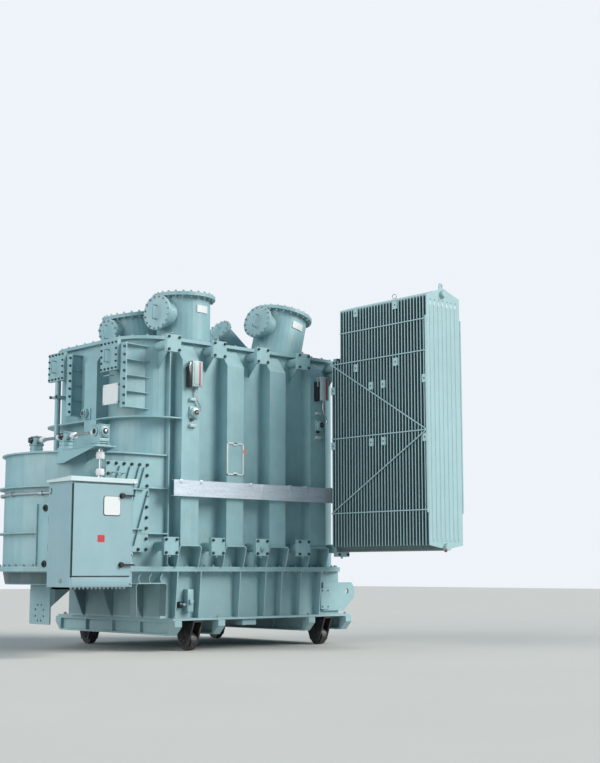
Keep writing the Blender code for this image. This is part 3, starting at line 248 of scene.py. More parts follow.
def makeZincGroup():
    # hot-dip zinc: crystals of a few millimetres, each a little lighter or darker, under dull drag marks
    write, given, out = newGroup("zincSpangle", {"Metal": (0.50, 0.54, 0.57), "Spangle": 0.012, "Contrast": 0.16})
    size = write.math("DIVIDE", 1.0, given["Spangle"])
    cells = write.add("TexVoronoi", {"Vector": write.place(), "Scale": size})
    tone = write.add("SeparateColor", {"Color": cells.outputs["Color"]}).outputs["Red"]
    marks = write.span(write.noise(0.03, 5.0, 0.6, (0.08, 0.08, 1)), 0.35, 0.68, -0.5, 0.5)
    both = write.math("ADD", write.math("SUBTRACT", tone, 0.5), marks)
    value = write.math("ADD", write.product(both, given["Contrast"]), 1.0)
    write.feed(out["Color"], write.add("HueSaturation", {"Color": given["Metal"], "Value": value}).outputs["Color"])
    write.feed(out["Roughness"], write.span(tone, 0.0, 1.0, 0.36, 0.55))
    write.feed(out["Height"], write.math("ADD", write.noise(0.02, 4.0), tone))
    return write.tree


def makeScuffGroup():
    # bare metal or plastic that hands and tools rub: fine scratches and a few bright scuffs
    write, given, out = newGroup(
        "scuffed", {"Base": (0.03, 0.03, 0.03), "Rubbed": (0.2, 0.2, 0.2), "Amount": 0.5, "Gloss": 0.45}
    )
    scratches = write.span(write.noise(0.004, 4.0, 0.7, (1, 0.08, 1)), 0.58, 0.72)
    scuffs = write.span(write.noise(0.035, 6.0, 0.65), 0.55, 0.70)
    mask = write.product(write.math("MAXIMUM", scratches, scuffs), given["Amount"])
    write.feed(out["Color"], write.blend(mask, given["Base"], given["Rubbed"]))
    uneven = write.span(write.noise(0.02, 5.0), 0.3, 0.7, -0.08, 0.12)
    write.feed(out["Roughness"], write.math("ADD", given["Gloss"], uneven))
    write.feed(out["Height"], write.math("SUBTRACT", write.noise(0.003, 3.0), mask))
    return write.tree


enamelGroup, zincGroup, scuffGroup = makeEnamelGroup(), makeZincGroup(), makeScuffGroup()

finishSettings = {
    # the record's slot, the effect and its values, the bump's depth, and the coat, metal and radius of soft edges
    "tankEnamel": ("tank_paint", enamelGroup, {"Paint": (0.232, 0.398, 0.432), "Dust": (0.50, 0.48, 0.43)},
                   0.0006, {"coat": 0.12, "edge": 0.004}),
    "radiatorEnamel": ("tank_paint", enamelGroup, {"Paint": (0.305, 0.465, 0.490), "Dust Amount": 0.15,
                       "Streak Amount": 0.10, "Shade": 0.05}, 0.0004, {"coat": 0.12, "edge": 0.003}),
    "cabinetEnamel": ("cabinet_paint", enamelGroup, {"Paint": (0.225, 0.360, 0.400), "Dust Amount": 0.15,
                      "Streak Amount": 0.12, "Shade": 0.05, "Gloss": 0.42}, 0.0003, {"edge": 0.004}),
    "roofEnamel": ("cabinet_paint", enamelGroup, {"Paint": (0.50, 0.60, 0.62), "Streak Amount": 0.12,
                   "Shade": 0.05}, 0.0003, {"edge": 0.004}),
    "gaugeEnamel": ("cabinet_paint", enamelGroup, {"Paint": (0.36, 0.47, 0.49), "Dust Amount": 0.2},
                    0.0002, {"edge": 0.003}),
    "zincSheet": ("zinc_sheet", zincGroup, {"Metal": (0.50, 0.57, 0.64)}, 0.0001, {"metal": 0.30, "edge": 0.001}),
    "boltZinc": ("zinc_sheet", zincGroup, {"Metal": (0.34, 0.40, 0.42), "Spangle": 0.004}, 0.0001, {"metal": 0.35}),
    "boltDark": ("zinc_sheet", scuffGroup, {"Base": (0.045, 0.060, 0.066), "Rubbed": (0.16, 0.20, 0.21)},
                 0.0001, {"metal": 0.3}),
    "blackSteel": ("black_steel", scuffGroup, {"Base": (0.035, 0.036, 0.038), "Rubbed": (0.22, 0.20, 0.18)},
                   0.0004, {"metal": 0.4, "edge": 0.003}),
    "blackPlastic": ("black_plastic", scuffGroup, {"Base": (0.014, 0.014, 0.015), "Rubbed": (0.09, 0.09, 0.09),
                     "Amount": 0.2, "Gloss": 0.35}, 0.0001, {}),
    "orangePlastic": ("black_plastic", scuffGroup, {"Base": (0.75, 0.16, 0.05), "Rubbed": (0.6, 0.3, 0.2),
                      "Amount": 0.3}, 0.0002, {}),
    "brightSteel": ("bright_steel", scuffGroup, {"Base": (0.50, 0.52, 0.53), "Rubbed": (0.34, 0.33, 0.31),
                    "Amount": 0.4, "Gloss": 0.28}, 0.0001, {"metal": 0.9}),
    "barePlateEnamel": ("cabinet_paint", scuffGroup, {"Base": (0.62, 0.65, 0.66), "Rubbed": (0.5, 0.5, 0.48),
                        "Amount": 0.3, "Gloss": 0.4}, 0.0002, {}),
    "redEnamel": ("cabinet_paint", scuffGroup, {"Base": (0.42, 0.025, 0.03), "Rubbed": (0.4, 0.10, 0.08),
                  "Amount": 0.3}, 0.0002, {}),
}


def newFinish(name, group, values, depth, metal=0.0, coat=0.0, edge=0.0):
    # one Principled material; an edge above zero rounds the sharp edges in the light by that radius
    material, write, sockets = newMaterial(name)
    for label, value in (("Metallic", metal), ("Coat Weight", coat), ("Coat Roughness", 0.2)):
        write.feed(sockets[label], value)
    effect = write.add("Group", values, node_tree=group).outputs
    bump = write.add("Bump", {"Strength": 0.6, "Distance": depth, "Height": effect["Height"]})
    if edge:
        write.feed(bump.inputs["Normal"], write.add("Bevel", {"Radius": edge}, samples=4).outputs["Normal"])
    write.feed(sockets["Base Color"], effect["Color"])
    write.feed(sockets["Roughness"], effect["Roughness"])
    write.feed(sockets["Normal"], bump.outputs["Normal"])
    return material


finishes = {name: newFinish(name, *values, **more) for name, (slot, *values, more) in finishSettings.items()}

paintedShadeSettings = {
    # the dark colour that the painted shade blends towards
    "color": (0.010, 0.028, 0.034),
    "fade": 0.003,
    "panelEdge": 0.006,                 # the panels' side edges and the outermost face stay without painted shade
    # the box of painted shade in the gaps between the radiator's panels
    "panelFace": -2.649,
    "panelHeights": (1.02, 3.70),
    "panelAmount": 0.72,
    # painted shadow on the chamber's dish and under the cabinet
    "dish": ((-2.6, -1.2, 0.681), (-1.75, 1.2, 0.795), 0.78),        # low and high corner, and the amount
    "underCabinet": ((-1.75, -1.2, 0.35), (-1.14, 1.2, 0.68), 0.45),
}


def addPaintedShade(finish, low, high, amount, settings):
    # paint inside a box is blended towards a dark colour, as painted shade
    write = nodeWriter(finishes[finish].node_tree)
    socket = finishes[finish].node_tree.nodes["Principled BSDF"].inputs["Base Color"]
    source = socket.links[0].from_socket
    where = write.add("SeparateXYZ", {"Vector": write.place()}).outputs
    fade, mask = settings["fade"], 1.0
    for axis, first, last in zip(("X", "Y", "Z"), low, high):
        past = write.span(where[axis], first - fade, first + fade)
        mask = write.product(past, write.span(where[axis], last - fade, last + fade, 1.0, 0.0), mask)
    write.feed(socket, write.blend(write.product(mask, amount), source, settings["color"]))


def paintShadows(settings):
    # painted shade between the radiator's panels, and painted shadow on the chamber's dish and under the cabinet
    low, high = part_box("radiator_bank")
    edge, (foot, head) = settings["panelEdge"], settings["panelHeights"]
    low = Vector((low.x + edge, tankMiddle.y + settings["panelFace"], foot))
    high = Vector((high.x - edge, high.y, head))
    addPaintedShade("radiatorEnamel", low, high, settings["panelAmount"], settings)
    for part in ("dish", "underCabinet"):
        low, high, amount = settings[part]
        addPaintedShade("tankEnamel", tankMiddle + Vector(low), tankMiddle + Vector(high), amount, settings)


paintShadows(paintedShadeSettings)
print("finishes ready")

nodeFinishes = {
    # every solid takes the finish of the first of these that its name starts with, or else the tank's
    "radiator": "radiatorEnamel", "cabinet_bracket": "tankEnamel", "cabinet_roof": "roofEnamel",
    "cabinet": "cabinetEnamel", "cable_tray": "zincSheet", "door_handle": "blackPlastic", "bogie": "blackSteel",
    "roller": "blackSteel", "drive_rod": "brightSteel",
}
for name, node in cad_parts.items():
    finish = next((made for start, made in nodeFinishes.items() if name.startswith(start)), "tankEnamel")
    for slot in node.material_slots:
        slot.material = finishes[finish]
print("solids dressed")

# Shapes that the pieces are built from, in metres from the middle of the tank

outLeft, outFront, outUp = (-1, 0, 0), (0, -1, 0), (0, 0, 1)
fourCorners = ((-1, -1), (-1, 1), (1, -1), (1, 1))


def newest(made, kind=bmesh.types.BMVert):
    return [item for item in made.get("geom", made.get("verts", [])) if isinstance(item, kind)]


def soften(shape, edges, reach):
    bmesh.ops.bevel(shape, geom=list(edges), offset=reach, segments=2, profile=0.5, affect="EDGES", material=-1)


def addBox(shape, low, high, soft=0.0):
    # a box between two corners, its edges rounded by soft
    low, high = Vector(low), Vector(high)
    place = Matrix.Translation((low + high) / 2) @ Matrix.Diagonal((*(high - low), 1))
    made = bmesh.ops.create_cube(shape, size=1.0, matrix=place)
    if soft:
        soften(shape, {edge for vert in made["verts"] for edge in vert.link_edges}, soft)


def addDrum(shape, start, end, radius, sides=24, tip=None, soft=0.0):
    # a round bar or disc between two points; a tip radius makes it a cone
    start, end = Vector(start), Vector(end)
    along = end - start
    place = Matrix.Translation((start + end) / 2) @ along.to_track_quat("Z", "Y").to_matrix().to_4x4()
    made = bmesh.ops.create_cone(
        shape, cap_ends=True, segments=sides, radius1=radius, radius2=radius if tip is None else tip,
        depth=along.length, matrix=place,
    )
    if soft:
        caps = {face for vert in made["verts"] for face in vert.link_faces if len(face.verts) == sides}
        soften(shape, {edge for face in caps for edge in face.edges}, soft)


def addDiscs(spot, axis, *discs):
    # drums on one axis: each says its shape, how far out of the spot it starts and ends, radius, sides and softness
    spot, axis = Vector(spot), Vector(axis)
    for shape, start, end, radius, sides, *soft in discs:
        addDrum(shape, spot + axis * start, spot + axis * end, radius, sides, soft=sum(soft))


def addPipe(shape, points, radius, sides=10):
    # a round bar that runs through these points
    points = [Vector(point) for point in points]
    ends = [points[0], *points, points[-1]]
    courses = [(after - before).normalized() for before, after in zip(ends, ends[2:])]
    place = Matrix.Translation(points[0]) @ courses[0].to_track_quat("Z", "Y").to_matrix().to_4x4()
    made = bmesh.ops.create_circle(shape, cap_ends=True, segments=sides, radius=radius, matrix=place)
    face = made["verts"][0].link_faces[0]
    for index in range(1, len(points)):
        made = bmesh.ops.extrude_face_region(shape, geom=[face])
        turn = courses[index - 1].rotation_difference(courses[index]).to_matrix().to_4x4()
        step = Matrix.Translation(points[index]) @ turn @ Matrix.Translation(-points[index - 1])
        bmesh.ops.transform(shape, matrix=step, verts=newest(made))
        face = newest(made, bmesh.types.BMFace)[0]


def bent(points, radius, steps=4):
    # the same path with its corners rounded
    points = [Vector(point) for point in points]
    path = [points[0]]
    for before, corner, after in zip(points, points[1:], points[2:]):
        first = corner + (before - corner).normalized() * radius
        last = corner + (after - corner).normalized() * radius
        for step in range(steps + 1):
            share = step / steps
            path.append(first.lerp(corner, share).lerp(corner.lerp(last, share), share))
    return [*path, points[-1]]


def addRing(shape, middle, axis, radius, thickness, sides=24):
    # a round bar bent to a closed ring
    axis = Vector(axis).normalized()
    out = axis.orthogonal().normalized()
    turn = axis.cross(out).to_track_quat("Z", "Y").to_matrix().to_4x4()
    place = Matrix.Translation(Vector(middle) + out * radius) @ turn
    made = bmesh.ops.create_circle(shape, segments=8, radius=thickness, matrix=place)
    edges = {edge for vert in made["verts"] for edge in vert.link_edges}
    bmesh.ops.spin(
        shape, geom=[*made["verts"], *edges], cent=middle, axis=axis, angle=2 * math.pi, steps=sides, use_merge=True
    )


def roundLoop(count, radius, x=0.0, y=0.0, turnFrom=0.0):
    turns = [turnFrom + 2 * math.pi * index / count for index in range(count)]
    return [(x + radius * math.cos(turn), y + radius * math.sin(turn)) for turn in turns]


def addSheet(shape, outline, thickness, place, holes=()):
    # a flat sheet cut to an outline in its own x and y, with round holes, raised along its own z
    edges = []
    for loop in (outline, *[roundLoop(16, radius, x, y) for x, y, radius in holes]):
        verts = [shape.verts.new((*point, 0)) for point in loop]
        edges += [shape.edges.new(pair) for pair in zip(verts, [*verts[1:], verts[0]])]
    made = bmesh.ops.triangle_fill(shape, use_beauty=True, use_dissolve=False, edges=edges)
    faces = newest(made, bmesh.types.BMFace)
    raised = bmesh.ops.extrude_face_region(shape, geom=faces)
    bmesh.ops.translate(shape, vec=(0, 0, thickness), verts=newest(raised))
    verts = {vert for edge in edges for vert in edge.verts} | set(newest(raised))
    bmesh.ops.transform(shape, matrix=place, verts=list(verts))


def roundedBox(width, height, corner, steps=4):
    # the outline of a sheet about its middle, with round corners
    outline = []
    across, rise = width / 2 - corner, height / 2 - corner
    for index, (x, y) in enumerate(((1, 1), (-1, 1), (-1, -1), (1, -1))):
        for step in range(steps + 1):
            turn = math.radians(90 * (index + step / steps))
            outline.append((x * across + corner * math.cos(turn), y * rise + corner * math.sin(turn)))
    return outline


def turned(degrees, axis):
    return Matrix.Rotation(math.radians(degrees), 4, axis)


def facing(axis, spot, up=outUp):
    # a place whose z looks along the axis and whose y is as near to up as can be
    out = Vector(axis).normalized()
    across = Vector(up).cross(out).normalized()
    turn = Matrix((across, out.cross(across), out)).transposed().to_4x4()
    return Matrix.Translation(spot) @ turn


boltSettings = {
    "size": 0.016,              # metres across the thread
    "sides": 12,
    "washerRadius": 0.95,       # these are shares of the size
    "washerThickness": 0.18,
    "nutRadius": 0.88,
    "nutHeight": 0.80,
    "nutEdge": 0.86,            # share of the nut's radius that is left at its chamfered end
    "threadOut": 0.35,
}


def makeBolt(settings):
    # one hexagon bolt end with its washer and the thread that stands out of the nut
    size, sides = settings["size"], settings["sides"]
    shape = bmesh.new()
    washer, nut = size * settings["washerThickness"], size * settings["nutHeight"]
    radius, edge = size * settings["nutRadius"], washer + nut * 0.8
    addDrum(shape, (0, 0, 0), (0, 0, washer), size * settings["washerRadius"], sides)
    addDrum(shape, (0, 0, washer), (0, 0, edge), radius, 6)
    addDrum(shape, (0, 0, edge), (0, 0, washer + nut), radius, 6, tip=radius * settings["nutEdge"])
    addDrum(shape, (0, 0, washer), (0, 0, washer + nut + size * settings["threadOut"]), size / 2, sides // 2)
    mesh = bpy.data.meshes.new("boltShape")
    shape.to_mesh(mesh)
    shape.free()
    return mesh


boltShape = makeBolt(boltSettings)


def addCopy(shape, mesh, place):
    moved = mesh.copy()
    moved.transform(place)
    shape.from_mesh(moved)
    bpy.data.meshes.remove(moved)


def addPart(shape, part, place):
    # joins one shape to another at a place
    mesh = bpy.data.meshes.new("part")
    part.to_mesh(mesh)
    part.free()
    addCopy(shape, mesh, place)
    bpy.data.meshes.remove(mesh)


def addBolt(shape, spot, axis, scale=1.0):
    turn = Vector(axis).to_track_quat("Z", "Y").to_matrix().to_4x4()
    addCopy(shape, boltShape, Matrix.Translation(spot) @ turn @ Matrix.Scale(scale, 4))


def addRingOfBolts(shape, place, radius, count, scale=1.0):
    # bolts round a circle in the x and y of a place, pointing along its z
    axis = place.to_3x3() @ Vector(outUp)
    for x, y in roundLoop(count, radius, turnFrom=math.pi / count):
        addBolt(shape, place @ Vector((x, y, 0)), axis, scale)


def addBoltsThrough(shape, place, depth, radius, count, scale=1.0):
    # a ring of bolts with their ends on both sides of plates that are this deep together
    addRingOfBolts(shape, place, radius, count, scale)
    back = Matrix.Translation((0, 0, -depth)) @ Matrix.Rotation(math.pi, 4, "X")
    addRingOfBolts(shape, place @ back, radius, count, scale)


def finishPiece(name, shape, finish, body="tank"):
    # puts the shape at the tank's place, shades it and gives it to a body
    bmesh.ops.translate(shape, vec=tankMiddle, verts=shape.verts)
    bmesh.ops.recalc_face_normals(shape, faces=shape.faces)
    piece = newObject(name, shape, finishes[finish])
    piece.data.polygons.foreach_set("use_smooth", [True] * len(piece.data.polygons))
    piece.data.set_sharp_from_angle(angle=math.radians(32.0))
    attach(piece, body)


# Fasteners

halfLength, halfWidth = 1.47, 0.87
coverTop = 3.235
stiffenerPlaces = (-0.9, -0.3, 0.3, 0.9)
endStiffenerPlace = -0.2193     # along y
ribPlaces = [halfLength * share for share in (-0.680, -0.476, -0.116, 0.126, 0.284, 0.476, 0.680)]
stubPlaces = (-1.2, -0.6, 0.0, 0.6, 1.2)
stubHeights = (3.13, 1.06)
stubFace = 1.12                 # of the square flanges, out from the tank's middle
blankPlaces = (-0.5986, 0.4246)     # along y, of the square blanks on the tank's left end
blankFace, blankHeight = -1.65, 3.01
stiffenerFace = -1.018
hatchFront = -0.9358
driveSettings = {
    "x": -2.07,
    "front": -1.18,             # face of the gearbox
    "rod": -1.12,               # the upright rod's place along y
    "level": 2.1526,            # height of the two level rods
    "heads": (-0.50, 0.08),
    # foot, head and reach of the heads' rings and of the gearbox's square plates
    "headRings": ((2.018, 2.034, 0.090), (2.060, 2.072, 0.070), (2.100, 2.110, 0.078), (2.1865, 2.195, 0.062)),
    "gearboxPlates": ((2.0121, 2.024, 0.080), (2.034, 2.044, 0.066), (2.052, 2.086, 0.058), (2.2121, 2.221, 0.066)),
    "sleeveRadius": 0.031,
    "uprightSleeves": ((1.725, 1.790), (1.885, 1.955)),
    "uprightSleeveRadius": 0.040,
    "frontSleeves": ((-1.035, -0.975), (-0.665, -0.600)),
    "backSleeves": ((-0.395, -0.340), (-0.075, -0.020)),
}

fastenerSettings = {
    "lidBolts": 24,
    "lidCircle": 0.318,
    "lidDepth": 0.0383,         # a turret's lid with its flange, and then a hand-hole's cover with its own
    "coverDepth": 0.0343,
    "handHoleBolts": 16,
    "flangePitch": 0.115,       # metres between bolts of the long flanges
    "flangeCircle": 0.055,      # out from the wall
    "flangeTop": 0.855,
    "flangeFoot": 0.805,
    "legReach": 0.139,          # from a stiffener's middle to the plates beside it, where no bolt is
    "clearOfPlates": 0.026,
    "chamberTurns": (92, 268),  # degrees round the chamber's end
    "chamberBolts": 24,
    "coverPitch": 0.16,
    "stubBolts": 0.066,         # out from a stub's middle
    "stubDepth": 0.022,
    "stubBoltScale": 1.05,
    "hatchCorners": ((-1.855, 1.025), (-1.385, 1.875)),      # x and z of the outermost bolts
    "hatchPitch": 0.102,
    "blankBolts": 5,            # on each side of a square blank
    "blankReach": 0.133,
    "ribBolts": 8,
    "ribPitch": 0.084,
    "endBoltScale": 1.15,
    "headCircle": (6, 0.083, 2.0163),   # how many bolts on each of the drive's heads, their circle and height
    "gearboxReach": 0.046,
    "skidBolts": ((-1.0496, -0.4895, 0.7806, 1.3406), (-0.99, 1.08), 0.332),     # along x, along y and height
    "bracketBolts": ((-2.45, -1.96), (0.925, 1.464), -0.9197),                  # along x, heights and face
}

turretPlaces = {
    # place of the foot, height, tilt, radii of the hand-hole's neck and cover, and the cover's bolts
    "leftFront": ((-0.66, -0.55), 0.52, 0.0, 0.150, 0.190, 16),
    "rightFront": ((0.66, -0.55), 0.52, 13.0, 0.150, 0.190, 16),
    "leftBack": ((-0.80, 0.11), 0.40, -10.0, 0.105, 0.140, 12),
}


def turretPlace(spot, tilt):
    return Matrix.Translation((*spot, coverTop)) @ turned(tilt, "Y")


def handHolePlace(spot, height, tilt, cover):
    # the outer face of a turret's hand-hole cover, its z out of the cover and its y up
    return turretPlace(spot, tilt) @ turned(9, "Z") @ facing(outLeft, (-0.4163, 0, height - 0.02 - cover))


slantedPlace = Matrix.Translation((0.31, 0.08, 3.58)) @ turned(-52, "Y")
slantedPlace = slantedPlace @ Matrix.Translation((0, 0, 0.0163)) @ turned(90, "Z")


def addTurretBolts(shape, settings):
    depth = settings["coverDepth"]
    for spot, height, tilt, neck, cover, count in turretPlaces.values():
        lid = turretPlace(spot, tilt) @ Matrix.Translation((0, 0, height + 0.0183))
        addBoltsThrough(shape, lid, settings["lidDepth"], settings["lidCircle"], settings["lidBolts"])
        face = handHolePlace(spot, height, tilt, cover)
        addBoltsThrough(shape, face, depth, (neck + cover) / 2 + 0.003, count, 0.9)
    addBoltsThrough(shape, slantedPlace, depth, 0.174, settings["handHoleBolts"], 0.9)


def edgePath(out):
    # points round the tank's rounded oblong in plan, this far out of its walls
    corner, path = 0.40 + out, []
    across, along = halfLength + out - corner, halfWidth + out - corner
    for quarter, (x, y) in enumerate(((1, 1), (-1, 1), (-1, -1), (1, -1))):
        for step in range(13):
            turn = math.radians(90 * quarter + 7.5 * step)
            path.append(Vector((x * across + corner * math.cos(turn), y * along + corner * math.sin(turn), 0)))
    return [*path, path[0]]


def alongPath(path, pitch):
    # evenly spaced points on a closed path
    lengths = [(after - before).length for before, after in zip(path, path[1:])]
    count = round(sum(lengths) / pitch)
    spots, walked, target = [], 0.0, 0.0
    for before, after, length in zip(path, path[1:], lengths):
        while length and target < walked + length and len(spots) < count:
            spots.append(before.lerp(after, (target - walked) / length))
            target += sum(lengths) / count
        walked += length
    return spots


def chamberArc(radius, z, turns):
    # points round the chamber's end, at these degrees
    arc = [math.radians(turn) for turn in turns]
    return [(-halfLength + radius * math.cos(turn), radius * math.sin(turn), z) for turn in arc]


def clearOf(value, places, reach):
    return all(abs(value - place) > reach for place in places)


def addTankBolts(shape, settings):
    out, clear, leg = pick(settings, "flangeCircle clearOfPlates legReach")
    top, foot = [Vector((0, 0, height)) for height in pick(settings, "flangeTop flangeFoot")]
    legs = [place + side * leg for place in stiffenerPlaces for side in (-1, 1)]
    for spot in alongPath(edgePath(out), settings["flangePitch"]):
        if spot.x < -1.12:
            continue
        onSide = abs(spot.y) > halfWidth
        if clearOf(spot.x, legs, clear) if onSide else abs(abs(spot.y - endStiffenerPlace) - leg) > clear:
            addBolt(shape, spot + top, outUp)
        if not onSide or clearOf(spot.x, ribPlaces, clear):
            addBolt(shape, spot + foot, (0, 0, -1))
    (first, last), count = settings["chamberTurns"], settings["chamberBolts"]
    turns = [first + (last - first) * index / count for index in range(count + 1)]
    for spot in chamberArc(halfWidth + out, settings["flangeTop"], turns):
        addBolt(shape, spot, outUp)
    for spot in alongPath(edgePath(0.03), settings["coverPitch"]):
        addBolt(shape, spot + Vector((0, 0, coverTop)), outUp, 0.85)


def addStubBolts(shape, settings):
    reach, scale = settings["stubBolts"], settings["stubBoltScale"]
    for side in (-1, 1):
        for x in stubPlaces:
            for z in stubHeights:
                for across, rise in fourCorners:
                    spot = Vector((x + across * reach, side * stubFace, z + rise * reach))
                    addBolt(shape, spot, (0, side, 0), scale)
                    addBolt(shape, spot - Vector((0, side * settings["stubDepth"], 0)), (0, -side, 0), scale)


def addEndBolts(shape, settings):
    # the big dark bolts of the square blanks, the end ribs and the chamber's hatch
    size, count, reach = settings["endBoltScale"], settings["blankBolts"] - 1, settings["blankReach"]
    for y in blankPlaces:
        for index in range(count):
            along = reach * (2 * index / count - 1)
            for across, rise in ((along, reach), (-along, -reach), (reach, -along), (-reach, along)):
                addBolt(shape, (blankFace, y + across, blankHeight + rise), outLeft, size * 0.7)
        for index in range(settings["ribBolts"]):
            addBolt(shape, (-1.615, y - 0.24, 2.50 + settings["ribPitch"] * index), outLeft, size * 0.85)
    (left, foot), (right, head) = settings["hatchCorners"]
    rows, columns = [round(length / settings["hatchPitch"]) for length in (head - foot, right - left)]
    spots = [(x, foot + (head - foot) * index / rows) for index in range(rows + 1) for x in (left, right)]
    spots += [(left + (right - left) * index / columns, z) for index in range(1, columns) for z in (foot, head)]
    for x, z in spots:
        addBolt(shape, (x, hatchFront - 0.0005, z), outFront, size)


def addOddBolts(shape, settings):
    # on the drive's heads and gearbox, over the skid beams and on the cabinet's bracket
    middle, front, level = pick(driveSettings, "x front level")
    count, circle, height = settings["headCircle"]
    for place in driveSettings["heads"]:
        for x, y in roundLoop(count, circle, middle, place, math.radians(30)):
            addBolt(shape, (x, y, height), outUp, 0.6)
    reach = settings["gearboxReach"]
    for across, rise in fourCorners:
        addBolt(shape, (middle + across * reach, front, level + rise * reach), outFront, 0.5)
    across, along, height = settings["skidBolts"]
    for x in across:
        for y in along:
            addBolt(shape, (x, y, height), outUp, 1.2)
    across, heights, face = settings["bracketBolts"]
    for z in heights:
        for x in across:
            addBolt(shape, (x, face, z), (0, 1, 0), 0.7)


turretBolts, tankBolts, endBolts = newShapes(3)
addTurretBolts(turretBolts, fastenerSettings)
addTankBolts(tankBolts, fastenerSettings)
addOddBolts(tankBolts, fastenerSettings)
addEndBolts(endBolts, fastenerSettings)
addStubBolts(endBolts, fastenerSettings)
finishPiece("turretBolts", turretBolts, "boltZinc")
finishPiece("tankBolts", tankBolts, "boltZinc")
finishPiece("endBolts", endBolts, "boltDark")
print("fasteners ready")

# Grips, welds and bare plates on the painted tank

gripSettings = {
    "bar": 0.007,               # radius of the bent bars
    "standOff": 0.06,
    "corner": 0.018,
    "turretLength": 0.15,
    "blankLength": 0.13,        # also on the hatch
    "ribLength": 0.10,
}
weldSettings = {
    "bead": 0.005,              # radius
    "stiffenerEdge": 0.116,
    "ribEdge": 0.008,
    "chamberHeights": (1.64, 1.654, 1.18, 1.194, 1.985),
}
plateSettings = {
    "numberPlate": (0.155, 0.080, 0.003),
    "numberHeight": 0.37,
    "barrel": 0.2925,           # radius that the number plates are bent to
    "signPlate": (0.275, 0.210, 0.003),
    "signPlace": (-1.632, -0.615, 2.612),
    "frameSize": (0.228, 0.345),
    "frameBar": 0.014,
    "framePlace": (-0.305, stiffenerFace, 1.992),
}


def addGrip(shape, place, settings, length):
    # a bent bar with two feet, along y of the place and standing out along its z
    half, out = length / 2, settings["standOff"]
    path = [place @ Vector((0, y, z)) for y, z in ((-half, -0.002), (-half, out), (half, out), (half, -0.002))]
    addPipe(shape, bent(path, settings["corner"]), settings["bar"])


def makeGrips(settings):
    shape = bmesh.new()
    for spot, height, tilt, neck, cover, count in turretPlaces.values():
        addGrip(shape, handHolePlace(spot, height, tilt, cover), settings, settings["turretLength"])
    addGrip(shape, slantedPlace, settings, settings["turretLength"])
    for y in blankPlaces:
        addGrip(shape, facing(outLeft, (blankFace, y, blankHeight)), settings, settings["blankLength"])
    addGrip(shape, facing(outLeft, (-1.62, -0.60, 2.80), (0, 1, 0)), settings, settings["ribLength"])
    finishPiece("coverGrips", shape, "tankEnamel")


def makeWelds(settings):
    # fillets where the box stiffeners and the ribs meet the wall
    shape = bmesh.new()
    edge, rib = settings["stiffenerEdge"], settings["ribEdge"]
    for side in (-1, 1):
        wall, face, foot = side * (halfWidth + 0.001), side * 1.0185, side * 0.861
        beads = []
        for x in stiffenerPlaces:
            beads += [((x + way * edge, wall, 1.10), (x + way * edge, wall, 3.17)) for way in (-1, 1)]
            beads.append(((x - 0.115, face, 1.0745), (x + 0.115, face, 1.0745)))
        beads += [((x + way * rib, foot, 0.34), (x + way * rib, foot, 0.80)) for x in ribPlaces for way in (-1, 1)]
        beads.append(((-1.05, side * 0.862, 0.334), (1.3, side * 0.862, 0.334)))
        beads.append(((-1.10, wall, 0.857), (1.07, wall, 0.857)))
        for bead in beads:
            addPipe(shape, bead, settings["bead"], 6)
    for height in settings["chamberHeights"]:
        turns = [90 + 7.5 * step for step in range(25)]
        addPipe(shape, chamberArc(halfWidth + 0.001, height, turns), settings["bead"], 6)
    finishPiece("weldBeads", shape, "tankEnamel")


def addNumberPlates(shape, settings):
    # two plates bent round the front turrets' barrels, each turned a little from the front
    width, height, thickness = settings["numberPlate"]
    barrel = settings["barrel"]
    for name, turn in (("leftFront", 8), ("rightFront", 3)):
        spot, tall, tilt = turretPlaces[name][:3]
        out = Vector((math.sin(math.radians(turn)), -math.cos(math.radians(turn)), 0))
        place = turretPlace(spot, tilt) @ facing(out, out * 0.290 + Vector((0, 0, settings["numberHeight"])))
        plate = bmesh.new()
        addBox(plate, (-width / 2, -height / 2, 0), (width / 2, height / 2, thickness))
        across = [edge for edge in plate.edges if abs(edge.verts[0].co.x - edge.verts[1].co.x) > width / 2]
        bmesh.ops.subdivide_edges(plate, edges=across, cuts=9, use_grid_fill=True)
        for vert in plate.verts:
            vert.co.z += math.sqrt(barrel**2 - vert.co.x**2) - barrel + 0.0035
        addPart(shape, plate, place)


def makeBarePlates(settings):
    # number plates, sign and nameplate frame, all of them bare
    shape, studs, ring = newShapes(3)
    addNumberPlates(shape, settings)
    width, height, thickness = settings["signPlate"]
    addSheet(shape, roundedBox(width, height, 0.012), thickness, facing(outLeft, settings["signPlace"]))
    x, face, z = settings["framePlace"]
    bar, (half, tall) = settings["frameBar"], [size / 2 for size in settings["frameSize"]]
    for left, low, right, high in (
        (-half, -tall, -half + bar, tall), (half - bar, -tall, half, tall), (-half, tall - bar, half, tall),
        (-half, -tall, half, -tall + bar), (-2 * bar, tall - 2 * bar, 2 * bar, tall),
        (-2 * bar, -tall, 2 * bar, -tall + 2 * bar),
    ):
        addBox(shape, (x + left, face - 0.012, z + low), (x + right, face, z + high), 0.002)
    finishPiece("barePlates", shape, "barePlateEnamel")
    x, y, z = settings["signPlace"]
    for across, rise in fourCorners:
        spot = Vector((x - 0.002, y + across * 0.122, z + rise * 0.090))
        addDiscs(spot, outLeft, (studs, 0, 0.005, 0.007, 10))
        addBox(studs, spot + Vector((0.002, -0.012, -0.010)), spot + Vector((0.034, 0.012, 0.010)))
    finishPiece("signStuds", studs, "boltZinc")
    addRing(ring, (-0.178, -1.030, 2.077), (0.1, -1, 0.1), 0.019, 0.005)
    addDiscs((-0.19, 0, 2.098), outFront, (ring, 1.0175, 1.034, 0.006, 10))
    finishPiece("sealRing", ring, "orangePlastic")


makeGrips(gripSettings)
makeWelds(weldSettings)
makeBarePlates(plateSettings)
print("grips, welds and plates ready")

# Gauges, relief boxes and their conduits

